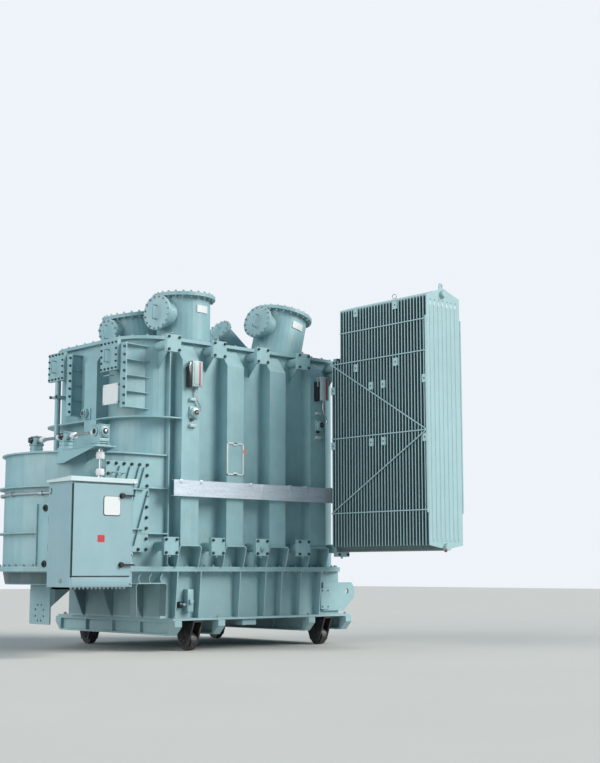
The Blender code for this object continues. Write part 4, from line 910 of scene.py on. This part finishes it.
gaugeSettings = {
    "places": ((-0.885, 2.848), (0.925, 2.858)),     # middle of each box along the tank and its height
    "size": (0.165, 0.072, 0.270),
    "stripeWidth": 0.016,
    "bossPlaces": ((-0.868, 2.446), (0.915, 2.442)),
    "bossRadius": 0.052,
    "lugRise": (0.135, -0.14),
    "conduit": 0.009,
}


def makeGauges(settings):
    pale, dark, bright, red, painted = newShapes(5)
    width, depth, height = settings["size"]
    face = stiffenerFace
    front, back = face - depth, face - 0.0005
    for x, z in settings["places"]:
        low, high, left, right = z - height / 2, z + height / 2, x - width / 2, x + width / 2
        addBox(pale, (left + 0.034, front, low), (right, back, high), 0.006)
        addBox(dark, (left, front + 0.008, low - 0.010), (left + 0.036, back, high - 0.060), 0.004)
        loop = [(left + 0.020, face - 0.050, low + 0.120), (left - 0.004, face - 0.066, low + 0.190),
                (left + 0.006, face - 0.066, high - 0.020), (left + 0.036, face - 0.040, high - 0.006)]
        addPipe(bright, bent(loop, 0.03), 0.008)
        addBox(pale, (left + 0.055, front - 0.004, low + 0.02), (right - 0.045, front, high - 0.02), 0.002)
        start, end = x + 0.034, x + 0.034 + settings["stripeWidth"]
        addBox(red, (start, front - 0.006, low + 0.012), (end, front, high - 0.012), 0.001)
        for corner in (low + 0.012, high - 0.012):
            addDiscs((right - 0.014, front, corner), outFront, (bright, 0.004, 0, 0.006, 8))
        course = ((0.03, 0.01), (0.03, -0.12), (0.085, -0.20), (0.085, -0.25))
        path = [(x + across, face - 0.03, low + rise) for across, rise in course]
        addPipe(bright, bent(path, 0.03), settings["conduit"])
        addDiscs((x + 0.03, face - 0.03, low), outUp, (bright, -0.03, 0, 0.015, 6))
    radius = settings["bossRadius"]
    for x, z in settings["bossPlaces"]:
        wide, tall = radius * 1.1, radius * 1.2
        addBox(painted, (x - wide, face - 0.018, z - tall), (x + wide, back, z + tall), 0.004)
        addDiscs((x, face, z), outFront, (painted, 0.016, 0.045, radius, 28, 0.004),
                 (bright, 0.044, 0.054, radius * 0.72, 24, 0.002), (dark, 0.053, 0.057, radius * 0.52, 24),
                 (bright, 0.056, 0.064, radius * 0.2, 12))
        for rise in settings["lugRise"]:
            addBox(pale, (x - 0.058, face - 0.034, z + rise - 0.016), (x + 0.022, back, z + rise + 0.016), 0.004)
        addBox(dark, (x - 0.045, face - 0.02, z - 0.088), (x - 0.005, back, z - 0.068), 0.003)
    finishPiece("gaugeBoxes", pale, "gaugeEnamel")
    finishPiece("gaugeShades", dark, "blackPlastic")
    finishPiece("gaugeFittings", bright, "brightSteel")
    finishPiece("gaugeStripes", red, "redEnamel")
    finishPiece("gaugeBosses", painted, "tankEnamel")


makeGauges(gaugeSettings)
print("gauges ready")

# Chamber front, end pipe, conduit and tray fittings

hatchSettings = {
    "lips": (1.625, 1.225),
    "lipReach": 0.035,
    "stripe": 0.008,
    "stripeLean": 0.30,
    "stripes": {                # where the slanted stripes start, between a foot and a head
        (1.06, 1.215): (-1.80, -1.67, -1.54),
        (1.235, 1.615): (-1.80, -1.64, -1.49),
        (1.635, 1.85): (-1.79, -1.665, -1.555, -1.49),
    },
    "gripPlace": (-1.745, hatchFront, 1.780),
}
endSettings = {
    "pipeRadius": 0.031,
    "pipePlace": (-1.615, 0.430),
    "pipeFoot": 2.0,
    "clampHeight": 2.68,
    "footLow": (-1.6178, -0.334, 2.0003),        # the stiffener's foot, down to the chamber's top
    "footHigh": (-1.47, -0.106, 2.3845),
    "bossPlace": (-1.6182, -0.165, 2.450),
    "conduitHeight": 1.58,
    "conduitRadius": 0.013,
    "conduitClips": (2, 9, 16, 23, 28),
}
traySettings = {
    "clips": (-1.05, -0.79, -0.12, 0.44, 0.68, 1.05),
    "clipWidth": 0.018,
    "face": -1.0685,
}


def makeHatchRibs(settings):
    # two lips and the slanted stripes between them, standing on the hatch's plate
    shape = bmesh.new()
    reach, stripe = settings["lipReach"], settings["stripe"]
    for z in settings["lips"]:
        addBox(shape, (-1.835, hatchFront - reach, z - 0.005), (-1.428, hatchFront, z + 0.005), 0.001)
    for (low, high), starts in settings["stripes"].items():
        tall = high - low
        lean = tall * settings["stripeLean"]
        for x in starts:
            rows = ((stripe, 0, lean, x + lean / 2), (0, reach * 0.7, 0, hatchFront - reach * 0.35),
                    (0, 0, tall, low + tall / 2), (0, 0, 0, 1))
            bmesh.ops.create_cube(shape, size=1.0, matrix=Matrix(rows))
    place = facing(outFront, settings["gripPlace"]) @ turned(90, "Z")
    addGrip(shape, place, gripSettings, gripSettings["blankLength"])
    finishPiece("hatchRibs", shape, "tankEnamel")


def makeEndPipes(settings):
    # the upright pipe with its clamp, the stiffener's foot on the chamber, and the boss with its eye
    shape, dark, bright = newShapes(3)
    x, y = settings["pipePlace"]
    radius, foot, z = settings["pipeRadius"], settings["pipeFoot"], settings["clampHeight"]
    addPipe(shape, [(x, y, foot + 0.002), (x, y, 2.86)], radius, 18)
    addDiscs((x, y, foot), outUp, (shape, 0, 0.014, radius * 2, 24, 0.002))
    addBox(shape, (x - 0.052, y - 0.085, z - 0.012), (-1.47, y + 0.075, z + 0.012), 0.003)
    for across in (-0.062, 0.055):
        addDiscs((x, y + across, z), outLeft, (dark, 0.051, 0.066, 0.017, 6))
    addBox(shape, settings["footLow"], settings["footHigh"], 0.003)
    x, y, z = settings["bossPlace"]
    addBox(shape, (x - 0.012, y - 0.075, z - 0.062), (x + 0.003, y + 0.050, z + 0.048), 0.003)
    addDiscs((x, y, z), outLeft, (shape, 0.010, 0.045, 0.050, 28, 0.004), (shape, 0.044, 0.060, 0.036, 24, 0.003),
             (dark, 0.0595, 0.0625, 0.024, 20), (bright, 0.044, 0.058, 0.022, 16, 0.002))
    finishPiece("endPipes", shape, "tankEnamel")
    finishPiece("endPipeNuts", dark, "boltDark")
    radius = settings["conduitRadius"]
    path = chamberArc(halfWidth + radius + 0.010, settings["conduitHeight"], range(112, 236, 4))
    addPipe(bright, path, radius, 12)
    for index in settings["conduitClips"]:
        before, after = Vector(path[index]), Vector(path[index + 1])
        addDrum(bright, before, before.lerp(after, 0.6), radius * 1.7, 6 if index % 2 else 16)
    finishPiece("chamberConduit", bright, "boltZinc")


def makeTrayFittings(settings):
    shape = bmesh.new()
    half, face = settings["clipWidth"], settings["face"]
    for x in settings["clips"]:
        addBox(shape, (x - half, face - 0.003, 1.716), (x + half, -1.012, 1.742), 0.002)
        addBox(shape, (x - half, face - 0.004, 1.700), (x + half, face, 1.742), 0.001)
        addDiscs((x, face, 1.722), outFront, (shape, 0.0035, 0.0085, 0.006, 8))
    addBox(shape, (0.022, face - 0.0023, 1.5715), (0.056, face, 1.7335), 0.0005)
    for x in (0.030, 0.048):
        for z in (1.60, 1.70):
            addDiscs((x, face, z), outFront, (shape, 0.0015, 0.005, 0.004, 8))
    finishPiece("trayClips", shape, "zincSheet")


makeHatchRibs(hatchSettings)
makeEndPipes(endSettings)
makeTrayFittings(traySettings)
print("chamber and tray fittings ready")

# Radiator face, lug and plugs

radiatorSettings = {
    "face": -2.6655,            # front of the outermost panel
    "middle": 1.20,
    "flutes": 7,
    "flutePitch": 0.066,
    "fluteRadius": 0.021,
    "fluteDepth": 0.35,         # share of the radius that stands out
    "foot": 1.15,
    "head": 3.60,
    "plugHeights": (3.745, 1.06),
    "side": 0.2605,
    "clipSize": (0.062, 0.086),
    "clips": ((-1.603, 3.655), (-2.210, 3.655), (-1.603, 3.035), (-2.210, 3.035), (-1.834, 2.813), (-2.018, 2.813),
              (-2.624, 2.813), (-1.237, 2.813), (-1.834, 2.194), (-2.018, 2.194), (-2.624, 2.194), (-1.237, 2.194)),
}


def makeRadiatorFace(settings):
    # pressed flutes down the outer panel, the holes above them, the clips on its sides and the lifting lug; the
    # holes are black discs, as painted shade
    shape, holes, clipHoleShade, red = newShapes(4)
    face, middle, foot, head, side = pick(settings, "face middle foot head side")
    for index in range(settings["flutes"]):
        x = middle + (index - (settings["flutes"] - 1) / 2) * settings["flutePitch"]
        flute = bmesh.new()
        addPipe(flute, [(0, 0.01, foot - 0.03), (0, 0, foot), (0, 0, head), (0, 0.01, head + 0.03)],
                settings["fluteRadius"], 12)
        flat = Matrix.Diagonal((1, settings["fluteDepth"], 1, 1))
        addPart(shape, flute, Matrix.Translation((x, face + 0.0005, 0)) @ flat)
        # a black disc for each hole above the flutes: painted shade inside it
        addDiscs((x, face, head + 0.06), outFront, (holes, -0.003, 0.001, 0.006, 10))
    lug = [(-0.035, -0.03), (0.035, -0.03), (0.028, 0.035), (0.015, 0.058), (-0.015, 0.058), (-0.028, 0.035)]
    addSheet(shape, lug, 0.012, facing(outFront, (middle - 0.02, -2.648, 3.80)), [(0, 0.025, 0.013)])
    addRing(shape, (middle - 0.05, -2.0, 3.812), (1, 0.2, 0), 0.026, 0.005)
    plate = roundedBox(*settings["clipSize"], 0.005, 2)
    for y, z in settings["clips"]:
        for way in (-1, 1):
            x, out = middle + way * side, (way, 0, 0)
            addSheet(shape, plate, 0.004, facing(out, (x + way * 0.004, y, z)))
            addBox(shape, (x - 0.005, y - 0.036, z - 0.043), (x + 0.005, y - 0.030, z + 0.043))
            # a black disc in each clip's hole: painted shade inside it
            addDiscs((x, y, z), out, (clipHoleShade, 0.0078, 0.0098, 0.009, 10))
    for z in settings["plugHeights"]:
        addDiscs((middle, face, z), outFront, (shape, -0.0005, 0.0245, 0.030, 6))
    finishPiece("radiatorFace", shape, "radiatorEnamel")
    finishPiece("radiatorHoleShade", holes, "blackPlastic")
    finishPiece("clipHoleShade", clipHoleShade, "blackPlastic")
    addDiscs((middle - 0.03, face, 1.015), outFront, (red, 0.0025, 0.0265, 0.012, 12, 0.002))
    finishPiece("drainPlug", red, "redEnamel")


makeRadiatorFace(radiatorSettings)
print("radiator face ready")

# Brackets, lugs and valve round the lower tank

lowerSettings = {
    "hanger": (-1.53, -1.145, 0.36, 0.692),      # left, right, foot and top
    "hangerDepth": (-0.985, -0.875),
    "sheet": 0.010,
    "corner": 0.035,
    "hooks": (-1.44, -1.31, -1.17),
    "lug": ((1.10, 0.368), (1.42, 0.368), (1.592, 0.525), (1.592, 0.620), (1.545, 0.684), (1.10, 0.684)),
    "lugHole": (1.466, 0.584, 0.032),
    "lugThickness": 0.022,
    "jackPlate": (-1.80, 0.355, 0.258, 0.620),   # x, middle y, foot and top
    "jackHoles": (8, 0.088, 0.013),              # how many, and the radii of their circle and of each
    "gussets": (-0.55, 0.0, 0.55),
    "gusset": ((-1.139, 0.335), (-1.139, 0.795), (-1.30, 0.70), (-1.30, 0.66), (-1.16, 0.335)),
    "valve": (-0.811, -0.90, 0.467),             # where its spindle's line meets the valve's middle
    "plugLine": 1.100,          # out from the tank's middle, for the vent and drain plugs
    "axleCap": 0.036,           # radius
}


def addHanger(shape, settings):
    # a bent sheet, open at its foot, with the hooks over it
    (left, right, foot, top), (front, back) = settings["hanger"], settings["hangerDepth"]
    sheet, corner = settings["sheet"], settings["corner"]
    inset = corner * 0.3
    half = [(left + 0.012, foot), (left, top - corner), (left + inset, top - inset), (left + corner, top)]
    outer = half + [(left + right - x, z) for x, z in reversed(half)]
    inner = [(x + sheet * (1 if x < (left + right) / 2 else -1), min(z, top - sheet)) for x, z in reversed(outer)]
    addSheet(shape, [*outer, *inner], back - front, facing(outFront, (0, back, 0)))
    for x in settings["hooks"]:
        course = ((0, 0.825), (0, 0.775), (-0.025, 0.745), (-0.02, 0.70), (0, 0.688))
        addPipe(shape, bent([(x + across, -0.93, z) for across, z in course], 0.012), 0.007, 8)


def addJackPlate(shape, settings):
    # the drilled plate that hangs from the chamber's tray, with its two webs
    x, y, foot, top = settings["jackPlate"]
    count, circle, radius = settings["jackHoles"]
    holes = [(across, rise, radius) for across, rise in roundLoop(count, circle, 0, -0.062, math.pi / count)]
    addSheet(shape, roundedBox(0.40, top - foot, 0.006, 2), 0.016, facing(outLeft, (x, y, (foot + top) / 2)), holes)
    web = [(x + 0.001, top - 0.18), (x + 0.001, 0.677), (x + 0.26, 0.677), (x + 0.26, 0.64)]
    for across in (-0.19, 0.19):
        addSheet(shape, web, 0.012, facing(outFront, (0, y + across + 0.006, 0)))
    addBox(shape, (x - 0.016, y - 0.196, top - 0.002), (x + 0.27, y + 0.196, 0.6755), 0.002)


def makeLowerFittings(settings):
    shape, plugs, knob = newShapes(3)
    addHanger(shape, settings)
    lugPlace = facing(outFront, (0, -0.866, 0))
    addSheet(shape, settings["lug"], settings["lugThickness"], lugPlace, [settings["lugHole"]])
    addSheet(shape, roundedBox(0.13, 0.230, 0.008, 2), 0.014, facing(outFront, (1.12, -0.8875, 0.502)),
             [(x * 0.042, z * 0.09, 0.011) for x, z in fourCorners])
    addJackPlate(shape, settings)
    addBox(shape, (-0.155, -0.98, 0.245), (0.035, -0.86, 0.3095), 0.004)
    for y in settings["gussets"]:
        addSheet(shape, settings["gusset"], 0.014, facing(outFront, (0, y, 0)))
    x, y, z = settings["valve"]
    addBox(shape, (x - 0.039, -0.935, 0.395), (x + 0.039, -0.858, 0.625), 0.006)
    addDiscs((x, 0, 0.50), outFront, (shape, 0.93, 0.96, 0.026, 18, 0.003))
    addPipe(shape, [(x - 0.089, y, z), (x - 0.034, y, z)], 0.016, 14)
    out = settings["plugLine"]
    for x in [place - 0.01 for place in stubPlaces]:
        for side in (-1, 1):            # vent plugs over the upper flanges, drain plugs under the lower ones
            addDiscs((x, side * out, 0), outUp, (plugs, 3.2185, 3.236, 0.014, 6), (plugs, 3.235, 3.244, 0.009, 12),
                     (shape, 0.9715, 0.950, 0.013, 6))
    finishPiece("ventPlugs", plugs, "brightSteel")
    addDiscs((0, -1.119, 1.045), outFront, (shape, 0, 0.031, 0.028, 6), (shape, 0.030, 0.041, 0.014, 12))
    finishPiece("lowerFittings", shape, "tankEnamel")
    x, y, z = settings["valve"]
    addDiscs((x, y, z), outLeft, (knob, 0.134, 0.087, 0.034, 18, 0.006))
    finishPiece("valveKnob", knob, "blackPlastic")


def makeAxleCaps(settings):
    for side in ("left", "right"):
        for end in ("front", "back"):
            low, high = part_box(f"roller_{side}_{end}")
            middle = (low + high) / 2 - tankMiddle
            caps = bmesh.new()
            for way in (-1, 1):
                out = Vector((way, 0, 0))
                face = middle + out * ((high.x - low.x) / 2 - 0.0005)
                addDiscs(face, out, (caps, 0, 0.010, settings["axleCap"], 20, 0.002))
                addRingOfBolts(caps, facing(out, face + out * 0.0095), 0.022, 3, 0.5)
            finishPiece(f"axleCaps{side.title()}{end.title()}", caps, "blackSteel", f"roller_{side}_{end}")


makeLowerFittings(lowerSettings)
makeAxleCaps(lowerSettings)
print("lower fittings ready")

# Cabinet: studs and glands outside, sheets on its door, and the gear inside

cabinetSettings = {
    "left": -2.55,
    "right": -1.86,
    "front": -1.385,
    "doorFace": -1.4075,
    "back": -0.985,
    "foot": 0.66,
    "studHeights": (0.970, 0.876, 0.810, 0.690),
    "knockOut": (-1.012, 1.561, 0.026),  # its middle's y and z, and its radius
    "panel": (0.855, 1.450),            # foot and head
    "panelDepth": (-0.9852, -0.760),    # front and back edge
    "grommetLine": -0.905,              # the grommets' place along y, as the glands' below
    "sheetPlace": (-2.115, 1.421),
    "sheetSize": (0.180, 0.176),
    "sheetMargin": 0.012,               # how much larger the painted shadow sheet behind it is
    "stickerPlace": (-2.232, 1.111),
    "stickerSize": (0.078, 0.066),
    "handleHeights": (0.8676, 1.5216),  # of the dark discs behind the handles
    "doorRibs": (                       # left, foot, right, head, depth and softness of what stiffens its lining
        (-2.50, 0.80, -2.47, 1.58, 0.018, 0.003), (-1.96, 0.80, -1.93, 1.58, 0.018, 0.003),
        (-2.40, 1.02, -2.08, 1.30, 0.022, 0.004),
    ),
    "glands": 14,
    "glandLine": -1.33,
    "railHeights": (0.92, 1.14, 1.36),
    "trunkHeights": (0.80, 1.03, 1.25, 1.49),
    "terminals": 34,
    "terminalPitch": 0.0135,
}


def makeCabinetFittings(settings, dark):
    # studs beside the door, glands under the foot, and in the dark shape the half-moon of a knock-out
    left, right, front, foot = pick(settings, "left right front foot")
    studs = bmesh.new()
    for z in settings["studHeights"]:
        x, size = right - 0.017, 0.018 if z > 0.7 else 0.012
        addDiscs((x, front, z), outFront, (studs, -0.0005, 0.010, size, 6))
        addDrum(studs, (x, front - 0.009, z), (x, front - 0.024, z), size * 0.8, 16, tip=size * 0.3, soft=0.002)
    addDiscs((left, -1.228, 0.718), outLeft, (studs, -0.0005, 0.012, 0.019, 6))
    addDrum(studs, (left - 0.011, -1.228, 0.718), (left - 0.020, -1.228, 0.718), 0.012, 16, tip=0.005)
    y, z, radius = settings["knockOut"]
    for turn in [math.radians(step) for step in range(-90, 75, 12)]:
        spot = (left, y - radius * math.cos(turn), z + radius * math.sin(turn))
        addDiscs(spot, outLeft, (dark, -0.0005, 0.0025, 0.0052, 8))
    addDiscs((right, front - 0.028, 1.648), (1, 0, 0), (studs, -0.02, 0.022, 0.009, 12, 0.002))
    step = (right - left - 0.10) / (settings["glands"] - 1)
    for index in range(settings["glands"]):
        x, y = left + 0.05 + index * step, settings["glandLine"]
        addDrum(studs, (x, y, foot + 0.0005), (x, y, foot - 0.010), 0.012, 6)
        addDrum(studs, (x, y, foot - 0.009), (x, y, foot - 0.020), 0.009, 12, tip=0.006)
    finishPiece("cabinetFittings", studs, "brightSteel")


def makeCabinetPanel(settings, dark):
    # the plate that stands behind the cabinet's left side, and in the dark shape its grommets and the foot's seal
    left, right, front = pick(settings, "left right front")
    (back, out), (foot, head) = settings["panelDepth"], settings["panel"]
    panel, sill = newShapes(2)
    addBox(panel, (-2.530, back, foot), (-2.518, out, head), 0.001)
    addBox(panel, (-2.548, out - 0.008, foot), (-2.530, out, head), 0.001)
    for z in (foot + 0.09, head - 0.12):
        addBox(panel, (-2.519, back + 0.03, z - 0.02), (-2.470, out - 0.02, z + 0.02), 0.002)
    finishPiece("cabinetPanel", panel, "tankEnamel")
    for z in (foot + 0.020, head - 0.045):
        addDiscs((0, settings["grommetLine"], z), outLeft,
                 (dark, 2.5295, 2.545, 0.034, 24, 0.003), (dark, 2.544, 2.560, 0.016, 6))
    for z in (foot + 0.14, foot + 0.40):
        addBox(dark, (-2.5425, back - 0.0005, z), (-2.5295, back + 0.018, z + 0.07), 0.001)
    addBox(dark, (left + 0.001, front - 0.0015, 0.750), (-1.885, front + 0.0005, 0.7655), 0.0005)
    finishPiece("cabinetSeals", dark, "blackPlastic")
    addBox(sill, (left + 0.015, front - 0.004, 0.669), (right - 0.015, front + 0.0005, 0.757), 0.0015)
    finishPiece("cabinetSill", sill, "cabinetEnamel")


def makeDoorFittings(settings):
    # the bare sheet and sticker outside, the gasket and discs round them, a painted shadow sheet behind the bare
    # sheet, and the stiffened lining inside
    face, front, margin = settings["doorFace"], settings["front"], settings["sheetMargin"]
    sheet, dark, sticker, stiff = newShapes(4)
    (width, height), (x, z) = settings["sheetSize"], settings["sheetPlace"]
    skin = face + 0.0002
    addSheet(sheet, roundedBox(width, height, 0.022, 5), 0.0022, facing(outFront, (x, skin, z)))
    finishPiece("doorSheet", sheet, "barePlateEnamel", "cabinet_door")
    # a dark sheet a little larger than the bare sheet, set down and to the left behind it: a painted shadow
    shadow = roundedBox(width + margin, height + margin, 0.026, 5)
    addSheet(dark, shadow, 0.0012, facing(outFront, (x - 0.003, skin, z - 0.003)))
    addBox(dark, (-2.5418, face + 0.002, 0.766), (-2.5398, face + 0.020, 1.619))
    for z in settings["handleHeights"]:
        addDiscs((-2.005, face, z), outFront, (dark, 0.001, 0.004, 0.029, 20, 0.001))
    finishPiece("doorGasketAndShadow", dark, "blackPlastic", "cabinet_door")
    x, z = settings["stickerPlace"]
    addSheet(sticker, roundedBox(*settings["stickerSize"], 0.004, 2), 0.0012, facing(outFront, (x, skin, z)))
    finishPiece("doorSticker", sticker, "redEnamel", "cabinet_door")
    for left, low, right, high, depth, soft in settings["doorRibs"]:
        addBox(stiff, (left, front - 0.0005, low), (right, front + depth, high), soft)
    finishPiece("doorInside", stiff, "cabinetEnamel", "cabinet_door")


def makeCabinetInside(settings):
    # mounting plate, trunking and rows of terminals, seen once the door stands open
    left, right = settings["left"], settings["right"]
    plate, blocks, pale = newShapes(3)
    wall = settings["back"] - 0.007
    addBox(plate, (left + 0.05, wall - 0.022, 0.72), (right - 0.05, wall - 0.019, 1.59), 0.001)
    for x in (left + 0.08, right - 0.08):
        for z in (0.76, 1.55):
            addDiscs((x, wall, z), outFront, (plate, 0.02, 0, 0.008, 10))
    for z in settings["railHeights"]:
        addBox(plate, (left + 0.10, wall - 0.030, z - 0.0175), (right - 0.10, wall - 0.021, z + 0.0175), 0.001)
        tall = 0.026 if z < 1.3 else 0.045
        for index in range(settings["terminals"]):
            x = left + 0.115 + index * settings["terminalPitch"]
            block = pale if index % 9 else blocks
            addBox(block, (x, wall - 0.075, z - tall), (x + 0.0115, wall - 0.028, z + tall), 0.0012)
            addDiscs((x + 0.0057, wall, z + tall * 0.6), outFront, (blocks, 0.0755, 0.074, 0.0032, 8))
    for z in settings["trunkHeights"]:
        addBox(pale, (left + 0.08, wall - 0.07, z - 0.02), (right - 0.08, wall - 0.021, z + 0.02), 0.002)
        addBox(blocks, (left + 0.082, wall - 0.0715, z - 0.012), (right - 0.082, wall - 0.069, z + 0.012), 0.001)
    finishPiece("cabinetPlate", plate, "zincSheet")
    finishPiece("terminals", pale, "gaugeEnamel")
    finishPiece("terminalScrews", blocks, "blackPlastic")


def makeDriveFittings(settings):
    # flanged plates, bearing rings and bolts on the gearbox and the heads
    x, front, rod, level = pick(settings, "x front rod level")
    bright, dark, painted = newShapes(3)
    addDiscs((x, front, level), outFront, (painted, -0.001, 0.012, 0.056, 32, 0.003),
             (painted, 0.011, 0.022, 0.044, 32, 0.002), (dark, 0.021, 0.024, 0.030, 24),
             (bright, 0.023, 0.032, 0.015, 16, 0.002))
    for foot, head, reach in settings["gearboxPlates"]:
        addBox(painted, (x - reach, front - 0.006, foot), (x + reach, rod + reach, head), 0.003)
    addDiscs((x, rod, 0), outUp, (painted, 2.02, 2.06, 0.052, 24), (dark, 1.6855, 1.6895, 0.062, 24))
    for way in (-1, 1):
        addDiscs((x, rod + 0.005, level), (way, 0, 0), (painted, 0.059, 0.074, 0.045, 28, 0.003),
                 (dark, 0.073, 0.076, 0.026, 20))
    for y in settings["heads"]:
        for foot, head, radius in settings["headRings"]:
            addDiscs((x, y, 0), outUp, (painted, foot, head, radius, 28, 0.002))
        addDiscs((x, y, 0), outUp, (bright, 2.194, 2.204, 0.016, 6))
        for radius, height, scale in ((0.070, 2.1095, 0.6), (0.056, 2.0715, 0.5)):
            for spot in roundLoop(6, radius, x, y, math.radians(10)):
                addBolt(dark, (*spot, height), outUp, scale)
        addDiscs((x, y, level), outLeft, (dark, 0.060, 0.088, 0.030, 20, 0.003), (bright, 0.087, 0.096, 0.014, 6))
    finishPiece("drivePlates", painted, "tankEnamel")
    finishPiece("bearingRings", bright, "brightSteel")
    finishPiece("bearingSeals", dark, "blackPlastic")


def makeSleeves(settings):
    # the couplings on the three rods, which turn with them
    x, rod, level, radius = pick(settings, "x rod level uprightSleeveRadius")
    sleeves = bmesh.new()
    for low, high in settings["uprightSleeves"]:
        addDiscs((x, rod, 0), outUp, (sleeves, low, high, radius, 28, 0.004))
        for way in (1, -1):
            addDiscs((x, rod, (low + high) / 2), (way, 0, 0), (sleeves, 0.036, 0.0486, 0.010, 6))
    finishPiece("uprightSleeves", sleeves, "barePlateEnamel", "drive_rod_upright")
    for end in ("front", "back"):
        sleeves = bmesh.new()
        for low, high in settings[end + "Sleeves"]:
            addDiscs((x, 0, level), (0, 1, 0), (sleeves, low, high, settings["sleeveRadius"], 24, 0.004))
        finishPiece(end + "Sleeves", sleeves, "barePlateEnamel", f"drive_rod_{end}")


seals = bmesh.new()
makeCabinetFittings(cabinetSettings, seals)
makeCabinetPanel(cabinetSettings, seals)
makeDoorFittings(cabinetSettings)
makeCabinetInside(cabinetSettings)
makeDriveFittings(driveSettings)
makeSleeves(driveSettings)
print("cabinet and drive fittings ready")

print("pieces ready")
